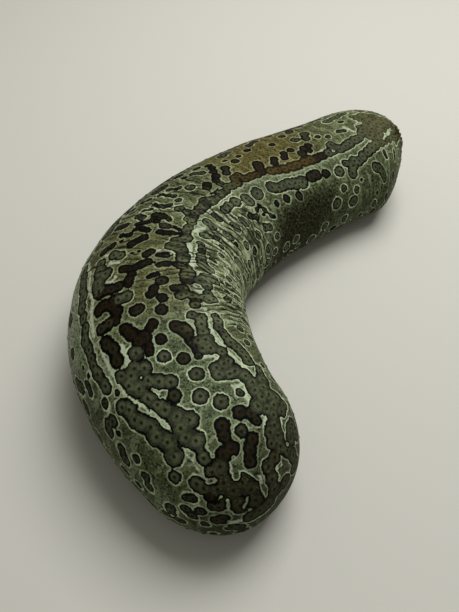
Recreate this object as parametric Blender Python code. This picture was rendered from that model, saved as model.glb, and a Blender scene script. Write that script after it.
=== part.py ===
"""A leopard sea cucumber lying bent on its sole, life size, in metres and +Z up.

The body is one loft along a bent spine, parted by thin upright cuts into lengths.
The front end holds the mouth with its crown of tentacles, and the rear end the vent.
The origin is on the floor, under the middle of the body's bounding box.
"""

import math
import random

import bmesh
import bpy
import numpy as np
from mathutils import Matrix, Vector

# Driving dimensions of the body
BODY_LENGTH = 0.380
BODY_STATIONS = (
    # share of the length, heading in degrees, half width
    (0.00, 141.0, 0.0384),
    (0.12, 131.0, 0.0446),
    (0.30, 102.0, 0.0511),
    (0.50, 59.0, 0.0475),
    (0.70, 36.5, 0.0443),
    (0.88, 26.0, 0.0423),
    (1.00, -7.5, 0.0454),
)
HEIGHT_TO_WIDTH = 0.72
WIDEST_AT = 0.46
END_LENGTH = 0.0435
END_SQUARENESS = 2.3
SMALLEST_RING = 0.04

# Shape of one cross-section: the powers that square up the side, the back and the belly
SIDE_POWER = 0.92
BACK_POWER = 0.95
BELLY_POWER = 0.70
BELLY_PRESS = 0.0030
SOLE_HEIGHT = 0.0015

# Folds pinched up on the inner side of the bend
FOLD_DEPTH = 0.0007
FOLD_PITCH = 0.0145
FOLD_MIDDLE = 0.46
FOLD_REACH = 0.20
FOLD_SIDE_POWER = 1.5

# How the loft is meshed
RING_POINTS = 48
RING_STEP = 0.0052
BEND_STEP = 0.0036
DOME_RINGS = 9
SPINE_STEPS = 760
PLAN_STATIONS = 200
PLAN_ANGLES = 72
SMOOTH_ANGLE = 40.0

# Where the body is parted, as shares of its length, and the gap that is left
LENGTHS = (
    ("anterior_end", 0.00, 0.15),
    ("fore_body", 0.15, 0.31),
    ("mid_body_front", 0.31, 0.45),
    ("mid_body_rear", 0.45, 0.60),
    ("hind_body", 0.60, 0.83),
    ("posterior_end", 0.83, 1.00),
)
PART_GAP = 0.0003

# Tube feet of the sole
FOOT_ROOT = 0.0019
FOOT_TIP = 0.0015
FOOT_SUNK = 0.0022
FOOT_SIDES = 6
FOOT_STEP = 0.0135
FOOT_ROWS = (-0.50, -0.30, -0.10, 0.10, 0.30, 0.50)
FOOT_FROM_CUT = 0.0035
FOOT_FROM_END = 0.030
FOOT_SIZE_SPREAD = 0.14
FOOT_PLACE_SPREAD = 0.0014
FOOT_SEED = 11

# Mouth, on the underside of the front dome
MOUTH_ALONG = 0.0072
MOUTH_TILT = 46.0
MOUTH_SUNK = 0.0009
MOUTH_RADIUS = 0.0062
MOUTH_FLARE = 1.12
MOUTH_DEPTH = 0.0060
LIP_RADIUS = 0.0076
LIP_THICKNESS = 0.0016
ROUND_SIDES = 28
LIP_SIDES = 8

# Tentacles: a disc with stalks that end in small shields
TENTACLE_RINGS = (
    # count, distance from the mouth's axis, length above the disc
    (7, 0.0021, 0.0040),
    (13, 0.0046, 0.0034),
)
TENTACLE_DISC = 0.0058
TENTACLE_DISC_THICKNESS = 0.0012
STALK_RADIUS = 0.0005
STALK_SIDES = 6
SHIELD_RADIUS = 0.0009
SHIELD_THICKNESS = 0.0007
SHIELD_SIDES = 7
SHIELD_RINGS = 4

# Vent, at the top of the rear dome
VENT_ALONG = 0.0055
VENT_TILT = 36.0
VENT_SUNK = 0.0006
VENT_RADIUS = 0.0052
VENT_NECK = 0.0012
VENT_DEPTH = 0.0090
VENT_PLEATS = 10
VENT_PLEAT_SHARE = 0.72
VENT_RIM_RADIUS = 0.0064
VENT_RIM_THICKNESS = 0.0015

# Finish: the base colour and the roughness of the skin and of the tentacles
SKIN_COLOUR = (0.300, 0.290, 0.225)
TENTACLE_COLOUR = (0.250, 0.190, 0.110)
SKIN_ROUGHNESS = 0.55
TENTACLE_ROUGHNESS = 0.50


def clear_scene():
    for obj in list(bpy.data.objects):
        bpy.data.objects.remove(obj, do_unlink=True)


def through_stations(column, share):
    """A smooth curve through one column of the stations, by Catmull-Rom slopes."""
    table = np.array(BODY_STATIONS)
    at, value = table[:, 0], table[:, column]
    slope = np.gradient(value, at)
    i = np.clip(np.searchsorted(at, share, side="right") - 1, 0, len(at) - 2)
    span = at[i + 1] - at[i]
    t = (share - at[i]) / span
    start = (1 + 2 * t) * (1 - t) ** 2 * value[i] + t * (1 - t) ** 2 * span * slope[i]
    end = t**2 * (3 - 2 * t) * value[i + 1] + t**2 * (t - 1) * span * slope[i + 1]
    return start + end


def spine_table():
    """Distance along the spine, its x and y, and its heading in radians."""
    along = np.linspace(0.0, BODY_LENGTH, SPINE_STEPS + 1)
    heading = np.radians(through_stations(1, along / BODY_LENGTH))
    step = np.diff(along)
    x = np.cumsum(np.append(0.0, (np.cos(heading[1:]) + np.cos(heading[:-1])) / 2 * step))
    y = np.cumsum(np.append(0.0, (np.sin(heading[1:]) + np.sin(heading[:-1])) / 2 * step))
    return along, x, y, heading


SPINE = spine_table()


def spine_at(along):
    """The spine's x, y and heading at one distance from the front tip."""
    return [float(np.interp(along, SPINE[0], column)) for column in SPINE[1:]]


def end_share(along):
    """How far the section has opened, from near 0 at either tip to 1 past the dome."""
    opened = 1.0
    for distance in (along, BODY_LENGTH - along):
        d = min(max(distance / END_LENGTH, 0.0), 1.0)
        opened *= (1 - (1 - d) ** END_SQUARENESS) ** (1 / END_SQUARENESS)
    return max(opened, SMALLEST_RING)


def signed_power(value, power):
    return math.copysign(abs(value) ** power, value)


def fold(along, angle):
    """Depth of the transverse folds, which lie on the inner side of the bend."""
    off_middle = (along / BODY_LENGTH - FOLD_MIDDLE) / FOLD_REACH
    if abs(off_middle) >= 1:
        return 0.0
    lengthwise = math.cos(off_middle * math.pi / 2) ** 2
    inner_side = max(0.0, -math.cos(angle)) ** FOLD_SIDE_POWER
    return FOLD_DEPTH * lengthwise * inner_side * math.sin(math.tau * along / FOLD_PITCH)


def body_point(along, angle):
    """A point of the skin. The angle runs round the section: 0 is the outer side of the
    bend, a quarter turn is the back, a half turn the inner side."""
    x, y, heading = spine_at(along)
    half_width = float(through_stations(2, along / BODY_LENGTH))
    height = 2 * half_width * HEIGHT_TO_WIDTH
    middle = WIDEST_AT * height
    across = half_width * signed_power(math.cos(angle), SIDE_POWER)
    rise = math.sin(angle)
    if rise >= 0:
        above = (height - middle) * rise**BACK_POWER
    else:
        above = -(middle + BELLY_PRESS) * (-rise) ** BELLY_POWER
    opened = end_share(along)
    swell = opened + fold(along, angle) / half_width
    across *= swell
    up = max(middle + above * swell, SOLE_HEIGHT)
    return Vector((x - math.sin(heading) * across, y + math.cos(heading) * across, up))


def ring(along, shift=0.0):
    """One closed section of the skin, moved along the heading by shift."""
    heading = spine_at(along)[2]
    move = Vector((math.cos(heading), math.sin(heading), 0.0)) * shift
    angles = (math.tau * (i + 0.5) / RING_POINTS for i in range(RING_POINTS))
    return [body_point(along, angle) + move for angle in angles]


def floor_middle():
    """The middle of the body's plan, which becomes the origin."""
    shares = (0.5 - 0.5 * math.cos(math.pi * i / PLAN_STATIONS) for i in range(PLAN_STATIONS + 1))
    samples = [
        body_point(BODY_LENGTH * share, math.tau * k / PLAN_ANGLES)
        for share in shares
        for k in range(PLAN_ANGLES)
    ]
    xs = [p.x for p in samples]
    ys = [p.y for p in samples]
    return Vector(((min(xs) + max(xs)) / 2, (min(ys) + max(ys)) / 2, 0.0))


MIDDLE = floor_middle()


def dome_stops(reach):
    """Distances from a tip for the rings of a dome, close together near the tip."""
    return [reach * (1 - math.cos(math.pi / 2 * i / DOME_RINGS)) for i in range(DOME_RINGS)]


def ring_stops(start, end):
    """Distances along the spine between two cuts, with the domes at the tips."""
    first, last = start * BODY_LENGTH, end * BODY_LENGTH
    stops = []
    if start == 0.0:
        stops += dome_stops(END_LENGTH)
        first = END_LENGTH
    tail = []
    if end == 1.0:
        tail = [BODY_LENGTH - d for d in reversed(dome_stops(END_LENGTH))]
        last = BODY_LENGTH - END_LENGTH
    middle = (start + end) / 2
    bent = abs(middle - FOLD_MIDDLE) < FOLD_REACH
    count = max(1, round((last - first) / (BEND_STEP if bent else RING_STEP)))
    stops += [first + (last - first) * i / count for i in range(count + 1)]
    return stops + tail


def material(name, colour, roughness):
    made = bpy.data.materials.new(name)
    made.use_nodes = True
    shader = made.node_tree.nodes["Principled BSDF"]
    shader.inputs["Base Color"].default_value = (*colour, 1.0)
    shader.inputs["Roughness"].default_value = roughness
    shader.inputs["Metallic"].default_value = 0.0
    return made


def object_from(name, mesh_data, collection):
    obj = bpy.data.objects.new(name, mesh_data)
    collection.objects.link(obj)
    return obj


def mesh_object(name, bm, collection):
    bmesh.ops.recalc_face_normals(bm, faces=bm.faces)
    mesh = bpy.data.meshes.new(name)
    bm.to_mesh(mesh)
    bm.free()
    return object_from(name, mesh, collection)


def loft(name, start, end, collection):
    """One length of the body, closed by flat faces at its cuts and by a point at a tip."""
    bm = bmesh.new()
    stops = ring_stops(start, end)
    rings = []
    for i, along in enumerate(stops):
        at_cut = (i == 0 and start > 0) or (i == len(stops) - 1 and end < 1)
        side = 1 if i == 0 else -1
        points = ring(along, side * PART_GAP / 2 if at_cut else 0.0)
        rings.append([bm.verts.new(p - MIDDLE) for p in points])
    for first, second in zip(rings, rings[1:]):
        for k in range(RING_POINTS):
            n = (k + 1) % RING_POINTS
            bm.faces.new((first[k], first[n], second[n], second[k]))
    bm.faces.new(rings[0])
    bm.faces.new(rings[-1])
    return mesh_object(name, bm, collection)


def frustum(name, base, axis, base_radius, top_radius, length, sides, collection):
    """A tapered round piece that stands on base and points along axis."""
    bm = bmesh.new()
    bmesh.ops.create_cone(
        bm,
        cap_ends=True,
        segments=sides,
        radius1=base_radius,
        radius2=top_radius,
        depth=length,
    )
    turn = axis.to_track_quat("Z", "Y").to_matrix().to_4x4()
    place = Matrix.Translation(base + axis * length / 2) @ turn
    bmesh.ops.transform(bm, matrix=place, verts=bm.verts)
    return mesh_object(name, bm, collection)


def rim(name, centre, axis, radius, thickness, collection):
    """A round rim of flesh about an opening."""
    bpy.ops.mesh.primitive_torus_add(
        major_segments=ROUND_SIDES,
        minor_segments=LIP_SIDES,
        major_radius=radius,
        minor_radius=thickness,
    )
    obj = bpy.context.object
    obj.name = name
    obj.data.transform(axis.to_track_quat("Z", "Y").to_matrix().to_4x4())
    obj.data.transform(Matrix.Translation(centre))
    for home in list(obj.users_collection):
        home.objects.unlink(obj)
    collection.objects.link(obj)
    return obj


def apply_boolean(obj, others, operation, solver="EXACT"):
    """Joins to, or cuts from, obj every object of a collection, which is then emptied."""
    modifier = obj.modifiers.new(operation.title(), "BOOLEAN")
    modifier.operation = operation
    modifier.operand_type = "COLLECTION"
    modifier.collection = others
    modifier.solver = solver
    bpy.context.view_layer.update()
    graph = bpy.context.evaluated_depsgraph_get()
    made = bpy.data.meshes.new_from_object(obj.evaluated_get(graph))
    obj.modifiers.remove(modifier)
    obj.data = made
    for other in list(others.objects):
        bpy.data.objects.remove(other, do_unlink=True)


def keep_largest(obj):
    """Drops every closed surface of a mesh but the largest."""
    bm = bmesh.new()
    bm.from_mesh(obj.data)
    bm.verts.ensure_lookup_table()
    unseen = set(bm.verts)
    shells = []
    while unseen:
        shell = set()
        waiting = [unseen.pop()]
        while waiting:
            vert = waiting.pop()
            shell.add(vert)
            for edge in vert.link_edges:
                other = edge.other_vert(vert)
                if other in unseen:
                    unseen.remove(other)
                    waiting.append(other)
        shells.append(shell)
    shells.sort(key=len, reverse=True)
    loose = [vert for shell in shells[1:] for vert in shell]
    bmesh.ops.delete(bm, geom=loose, context="VERTS")
    bm.to_mesh(obj.data)
    bm.free()


def scattered_feet():
    """Every tube foot as its distance along the spine, its distance across it and its
    size against the usual one. They stand in staggered rows, a little unevenly."""
    draw = random.Random(FOOT_SEED)
    feet = []
    for row, share in enumerate(FOOT_ROWS):
        offset = FOOT_STEP * (0.5 if row % 2 else 0.0)
        for i in range(int(BODY_LENGTH / FOOT_STEP) + 1):
            along = offset + FOOT_STEP * i + draw.uniform(-FOOT_PLACE_SPREAD, FOOT_PLACE_SPREAD)
            stray = draw.uniform(-FOOT_PLACE_SPREAD, FOOT_PLACE_SPREAD)
            size = 1 + draw.uniform(-FOOT_SIZE_SPREAD, FOOT_SIZE_SPREAD)
            if FOOT_FROM_END <= along <= BODY_LENGTH - FOOT_FROM_END:
                half_width = float(through_stations(2, along / BODY_LENGTH))
                feet.append((along, share * half_width * end_share(along) + stray, size))
    return feet


def add_feet(start, end, joined):
    """The tube feet of one length, with flat tips on the floor and roots in the sole."""
    up = Vector((0.0, 0.0, 1.0))
    first = start * BODY_LENGTH + FOOT_FROM_CUT
    last = end * BODY_LENGTH - FOOT_FROM_CUT
    length = SOLE_HEIGHT + FOOT_SUNK
    for i, (along, across, size) in enumerate(scattered_feet()):
        if first <= along <= last:
            x, y, heading = spine_at(along)
            side = Vector((-math.sin(heading), math.cos(heading), 0.0))
            place = Vector((x, y, 0.0)) + side * across - MIDDLE
            tip, root = FOOT_TIP * size, FOOT_ROOT * size
            frustum(f"foot_{i}", place, up, tip, root, length, FOOT_SIDES, joined)


def outward(heading, tilt):
    """The unit vector along a level heading, tilted up by so many degrees."""
    lean = math.radians(tilt)
    level = math.cos(lean)
    return Vector((math.cos(heading) * level, math.sin(heading) * level, math.sin(lean)))


def mouth_frame():
    """The mouth's centre, on the lower side of the front dome, and its direction."""
    out = outward(spine_at(MOUTH_ALONG)[2] + math.pi, -MOUTH_TILT)
    return body_point(MOUTH_ALONG, -math.pi / 2) - MIDDLE - out * MOUTH_SUNK, out


def vent_frame():
    """The vent's centre, on the upper side of the rear dome, and its direction."""
    along = BODY_LENGTH - VENT_ALONG
    out = outward(spine_at(along)[2], VENT_TILT)
    return body_point(along, math.pi / 2) - MIDDLE - out * VENT_SUNK, out


def add_mouth_lip(joined):
    centre, out = mouth_frame()
    rim("lip", centre, out, LIP_RADIUS, LIP_THICKNESS, joined)


def mark_cutter(obj):
    """Shows a cutter as wires, and only in the viewport."""
    obj.hide_render = True
    obj.display_type = "WIRE"


def add_mouth_cutter(cutters):
    """The cutter for the mouth: a short funnel that widens to the lips."""
    centre, out = mouth_frame()
    reach = MOUTH_DEPTH * 2
    wide = MOUTH_RADIUS * (1 + (MOUTH_FLARE - 1) * 2)
    start = centre - out * MOUTH_DEPTH
    radius = MOUTH_RADIUS
    cutter = frustum("mouth_cutter", start, out, radius, wide, reach, ROUND_SIDES, cutters)
    mark_cutter(cutter)


def add_vent_rim(joined):
    centre, out = vent_frame()
    rim("vent_rim", centre, out, VENT_RIM_RADIUS, VENT_RIM_THICKNESS, joined)


def add_vent_cutter(cutters):
    """The cutter for the vent: a cone whose side is drawn in between its pleats."""
    centre, out = vent_frame()
    reach = VENT_DEPTH * 2
    wide = VENT_NECK + (VENT_RADIUS - VENT_NECK) * 2
    start = centre - out * VENT_DEPTH
    sides = VENT_PLEATS * 2
    cutter = frustum("vent_cutter", start, out, VENT_NECK, wide, reach, sides, cutters)
    mark_cutter(cutter)
    for i, vert in enumerate(cutter.data.vertices):
        off = vert.co - start
        along = off.dot(out)
        if along > reach / 2 and (i // 2) % 2:
            vert.co = start + out * along + (off - out * along) * VENT_PLEAT_SHARE


def body_length(name, start, end, collection, joined, cutters):
    """One named length of the body with what grows on it fused in."""
    obj = loft(name, start, end, collection)
    add_feet(start, end, joined)
    if start == 0.0:
        add_mouth_lip(joined)
    if end == 1.0:
        add_vent_rim(joined)
    apply_boolean(obj, joined, "UNION")
    if start == 0.0:
        add_mouth_cutter(cutters)
    if end == 1.0:
        add_vent_cutter(cutters)
    if len(cutters.objects):
        # The pleated cutter's faces aren't flat, which the exact solver doesn't cut
        apply_boolean(obj, cutters, "DIFFERENCE", "MANIFOLD")
    keep_largest(obj)
    return obj


def shield(name, centre, axis, collection):
    """The flat, rounded end of one tentacle."""
    bm = bmesh.new()
    bmesh.ops.create_uvsphere(
        bm,
        u_segments=SHIELD_SIDES,
        v_segments=SHIELD_RINGS,
        radius=SHIELD_RADIUS,
    )
    flatten = Matrix.Diagonal((1.0, 1.0, SHIELD_THICKNESS / SHIELD_RADIUS, 1.0))
    turn = axis.to_track_quat("Z", "Y").to_matrix().to_4x4()
    bmesh.ops.transform(bm, matrix=Matrix.Translation(centre) @ turn @ flatten, verts=bm.verts)
    return mesh_object(name, bm, collection)


def oral_tentacles(collection, joined):
    """The crown of short tentacles, drawn in, on the disc at the bottom of the mouth."""
    centre, out = mouth_frame()
    base = centre - out * (MOUTH_DEPTH - PART_GAP)
    turn = out.to_track_quat("Z", "Y")
    obj = frustum(
        "oral_tentacles",
        base,
        out,
        TENTACLE_DISC,
        TENTACLE_DISC,
        TENTACLE_DISC_THICKNESS,
        ROUND_SIDES,
        collection,
    )
    for row, (count, radius, length) in enumerate(TENTACLE_RINGS):
        for i in range(count):
            angle = math.tau * (i + 0.5 * row) / count
            spoke = turn @ Vector((math.cos(angle), math.sin(angle), 0.0))
            root = base + spoke * radius + out * TENTACLE_DISC_THICKNESS / 2
            stem = length + TENTACLE_DISC_THICKNESS / 2
            name = f"stalk_{row}_{i}"
            frustum(name, root, out, STALK_RADIUS, STALK_RADIUS, stem, STALK_SIDES, joined)
            shield(f"shield_{row}_{i}", root + out * stem, out, joined)
    apply_boolean(obj, joined, "UNION")
    keep_largest(obj)
    return obj


def main():
    clear_scene()
    scene = bpy.context.scene
    scene.unit_settings.scale_length = 1.0
    animal = bpy.data.collections.new("Leopard sea cucumber")
    joined = bpy.data.collections.new("Pieces to join")
    cutters = bpy.data.collections.new("Cutters")
    for collection in (animal, joined, cutters):
        scene.collection.children.link(collection)
    skin = material("Skin", SKIN_COLOUR, SKIN_ROUGHNESS)
    flesh = material("Tentacle flesh", TENTACLE_COLOUR, TENTACLE_ROUGHNESS)
    for name, start, end in LENGTHS:
        obj = body_length(name, start, end, animal, joined, cutters)
        obj.data.materials.clear()
        obj.data.materials.append(skin)
    crown = oral_tentacles(animal, joined)
    crown.data.materials.clear()
    crown.data.materials.append(flesh)
    for obj in animal.objects:
        obj.data.shade_smooth()
        obj.data.set_sharp_from_angle(angle=math.radians(SMOOTH_ANGLE))


main()
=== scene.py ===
"""A leopard sea cucumber lying in a wide bend on its sole, life size, as a still museum model."""

import math
import random

import bpy
import numpy as np
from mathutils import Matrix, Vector


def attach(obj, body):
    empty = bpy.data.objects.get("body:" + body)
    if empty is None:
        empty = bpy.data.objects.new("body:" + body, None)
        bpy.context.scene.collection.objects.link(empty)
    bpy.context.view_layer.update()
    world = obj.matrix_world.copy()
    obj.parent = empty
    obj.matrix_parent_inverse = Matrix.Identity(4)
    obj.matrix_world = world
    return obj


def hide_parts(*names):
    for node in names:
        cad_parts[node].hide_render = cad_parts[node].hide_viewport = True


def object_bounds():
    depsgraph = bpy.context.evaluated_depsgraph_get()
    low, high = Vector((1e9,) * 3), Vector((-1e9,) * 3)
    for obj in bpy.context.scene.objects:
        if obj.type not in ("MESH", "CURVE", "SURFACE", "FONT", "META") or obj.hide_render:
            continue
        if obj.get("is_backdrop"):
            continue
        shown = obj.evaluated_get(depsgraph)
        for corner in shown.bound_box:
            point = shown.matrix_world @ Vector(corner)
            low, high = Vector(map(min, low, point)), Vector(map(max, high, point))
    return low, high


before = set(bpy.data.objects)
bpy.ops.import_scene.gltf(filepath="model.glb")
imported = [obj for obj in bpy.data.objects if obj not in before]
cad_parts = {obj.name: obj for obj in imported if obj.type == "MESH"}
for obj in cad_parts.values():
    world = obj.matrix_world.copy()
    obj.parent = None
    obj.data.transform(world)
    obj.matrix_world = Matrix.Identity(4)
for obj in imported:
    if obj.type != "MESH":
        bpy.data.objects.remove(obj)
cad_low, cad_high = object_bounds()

# Body wall
# A thick leathery tube of muscle and skin in one piece, from the blunt mouth end to the vent.
# It lies bent in its own plane, flat on its sole, and its skin carries ringed spots.
# All sizes of the animal are in millimetres, and MM turns them into metres.
MM = 0.001
BODY_LENGTH = 380.0
BODY_STATIONS = np.array((
    # share of the length, heading in degrees, half width
    (0.00, 141.0, 38.4),
    (0.12, 131.0, 44.6),
    (0.30, 102.0, 51.1),
    (0.50, 59.0, 47.5),
    (0.70, 36.5, 44.3),
    (0.88, 26.0, 42.3),
    (1.00, -7.5, 45.4),
))
HEIGHT_TO_WIDTH = 0.72
WIDEST_AT = 0.46
END_LENGTH = 43.5
END_SQUARENESS = 2.3
SIDE_POWER = 0.92
BACK_POWER = 0.95
BELLY_POWER = 0.70
BELLY_PRESS = 3.0
SOLE_HEIGHT = 1.5
SOLE_ROUNDING = 0.35
PLAN_MIDDLE = np.array((-7.4, 144.0))

# How finely the spine, the arc over the back, the girth and the skin are drawn
SPINE_POINTS = 761
ARC_POINTS = 4001
TURN_POINTS = 721
ROW_STEP = 0.62
GIRTH_POINTS = 448


def through_stations(column, share):
    """A smooth curve through one column of the stations."""
    at, value = BODY_STATIONS[:, 0], BODY_STATIONS[:, column]
    slope = np.gradient(value, at)
    i = np.clip(np.searchsorted(at, share, side="right") - 1, 0, len(at) - 2)
    span = at[i + 1] - at[i]
    t = (share - at[i]) / span
    start = (1 + 2 * t) * (1 - t) ** 2 * value[i] + t * (1 - t) ** 2 * span * slope[i]
    end = t**2 * (3 - 2 * t) * value[i + 1] + t**2 * (t - 1) * span * slope[i + 1]
    return start + end


def spine_columns():
    """Distance along the spine, its x and y, and its heading in radians."""
    along = np.linspace(0.0, BODY_LENGTH, SPINE_POINTS)
    heading = np.radians(through_stations(1, along / BODY_LENGTH))
    step = np.diff(along)
    x = np.cumsum(np.append(0.0, (np.cos(heading[1:]) + np.cos(heading[:-1])) / 2 * step))
    y = np.cumsum(np.append(0.0, (np.sin(heading[1:]) + np.sin(heading[:-1])) / 2 * step))
    return along, x - PLAN_MIDDLE[0], y - PLAN_MIDDLE[1], heading


SPINE = spine_columns()


def spine_at(along):
    """The spine's x and y and its heading, at a distance along it."""
    return [np.interp(along, SPINE[0], column) for column in SPINE[1:]]


def skin_point(along, angle):
    """Points of the smooth skin. The angle runs round the section: 0 is the outer side of
    the bend, a quarter turn is the back and a half turn the inner side."""
    along, angle = np.broadcast_arrays(along, angle)
    x, y, heading = spine_at(along)
    half_width = through_stations(2, along / BODY_LENGTH)
    height = 2 * half_width * HEIGHT_TO_WIDTH
    middle = WIDEST_AT * height
    opened = np.ones_like(along)
    for distance in (along, BODY_LENGTH - along):
        d = np.clip(distance / END_LENGTH, 0.0, 1.0)
        opened = opened * (1 - (1 - d) ** END_SQUARENESS) ** (1 / END_SQUARENESS)
    side, rise = np.cos(angle), np.sin(angle)
    across = half_width * np.sign(side) * np.abs(side) ** SIDE_POWER * opened
    above = (height - middle) * np.abs(rise) ** BACK_POWER
    below = -(middle + BELLY_PRESS) * np.abs(rise) ** BELLY_POWER
    up = middle + np.where(rise >= 0, above, below) * opened
    over_sole = (up - SOLE_HEIGHT) / SOLE_ROUNDING
    up = SOLE_HEIGHT + SOLE_ROUNDING * np.logaddexp(0.0, over_sole)
    return np.stack((x - np.sin(heading) * across, y + np.cos(heading) * across, up), -1)


def arc_columns():
    """Distance over the back from the front tip, against distance along the spine."""
    share = np.linspace(0.0, 1.0, ARC_POINTS)
    along = BODY_LENGTH * (0.5 - 0.5 * np.cos(np.pi * share))
    steps = np.linalg.norm(np.diff(skin_point(along, np.pi / 2), axis=0), axis=1)
    return np.append(0.0, np.cumsum(steps)), along


ARC_TABLE = arc_columns()
ARC_TOTAL = ARC_TABLE[0][-1]
TURN = np.linspace(-np.pi, np.pi, TURN_POINTS)


def girth_table(along):
    """Distance round one section from the midline of the back, + towards the outer side."""
    points = skin_point(np.full_like(TURN, along), np.pi / 2 - TURN)
    grown = np.append(0.0, np.cumsum(np.linalg.norm(np.diff(points, axis=0), axis=1)))
    return grown - grown[len(TURN) // 2]


def skin_place(arc, girth):
    """The point of the skin so far over the back and so far round the girth."""
    along = np.interp(arc, *ARC_TABLE)
    turn = np.interp(girth, girth_table(along), TURN)
    return skin_point(along, np.pi / 2 - turn)


rows = round(ARC_TOTAL / ROW_STEP) - 1
arc = ARC_TOTAL * (np.arange(rows) + 1) / (rows + 1)
along = np.interp(arc, *ARC_TABLE)
girth = np.empty((rows, GIRTH_POINTS))
turn = np.empty((rows, GIRTH_POINTS))
shares = np.arange(GIRTH_POINTS) * 2 / GIRTH_POINTS - 1
for i in range(rows):
    table = girth_table(along[i])
    girth[i] = shares * table[-1]
    turn[i] = np.interp(girth[i], table, TURN)
smooth = skin_point(along[:, None], np.pi / 2 - turn)
lengthwise = np.gradient(smooth, axis=0)
lengthwise /= np.linalg.norm(lengthwise, axis=2)[..., None]
roundwise = np.roll(smooth, -1, axis=1) - np.roll(smooth, 1, axis=1)
outward = np.cross(roundwise, lengthwise)
outward /= np.linalg.norm(outward, axis=2)[..., None]
if outward[rows // 2, GIRTH_POINTS // 2, 2] < 0:
    outward = -outward


def lattice_noise(points, cell, seed):
    """Smooth noise from about -1 to 1 that repeats exactly, with one value a cell."""
    low = points.reshape(-1, 3).min(0) - cell
    size = np.ceil((points.reshape(-1, 3).max(0) - low) / cell).astype(int) + 2
    values = np.random.default_rng(seed).uniform(-1.0, 1.0, size)
    place = (points - low) / cell
    cell_of = np.floor(place).astype(int)
    t = place - cell_of
    t = t * t * (3 - 2 * t)
    summed = np.zeros(points.shape[:-1])
    for corner in np.ndindex(2, 2, 2):
        share = np.ones(points.shape[:-1])
        for axis, far in enumerate(corner):
            share = share * (t[..., axis] if far else 1 - t[..., axis])
        at = cell_of + corner
        summed += share * values[at[..., 0], at[..., 1], at[..., 2]]
    return summed


def waves(table):
    """Noises of the skin added up, each from its height, its cell and its seed."""
    return sum(height * lattice_noise(smooth, cell, seed) for height, cell, seed in table)


def ease(value, start, end):
    """0 before start, 1 after end, and smooth between them."""
    t = np.clip((value - start) / (end - start), 0.0, 1.0)
    return t * t * (3 - 2 * t)


def between(value, start, full, fading, end):
    """0 before start, 1 from full to fading, 0 after end, and smooth between them."""
    return ease(value, start, full) * ease(-value, -end, -fading)


def bell(value, width):
    """1 at 0, and fading on both sides over a width."""
    return np.exp(-((value / width) ** 2))


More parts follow.
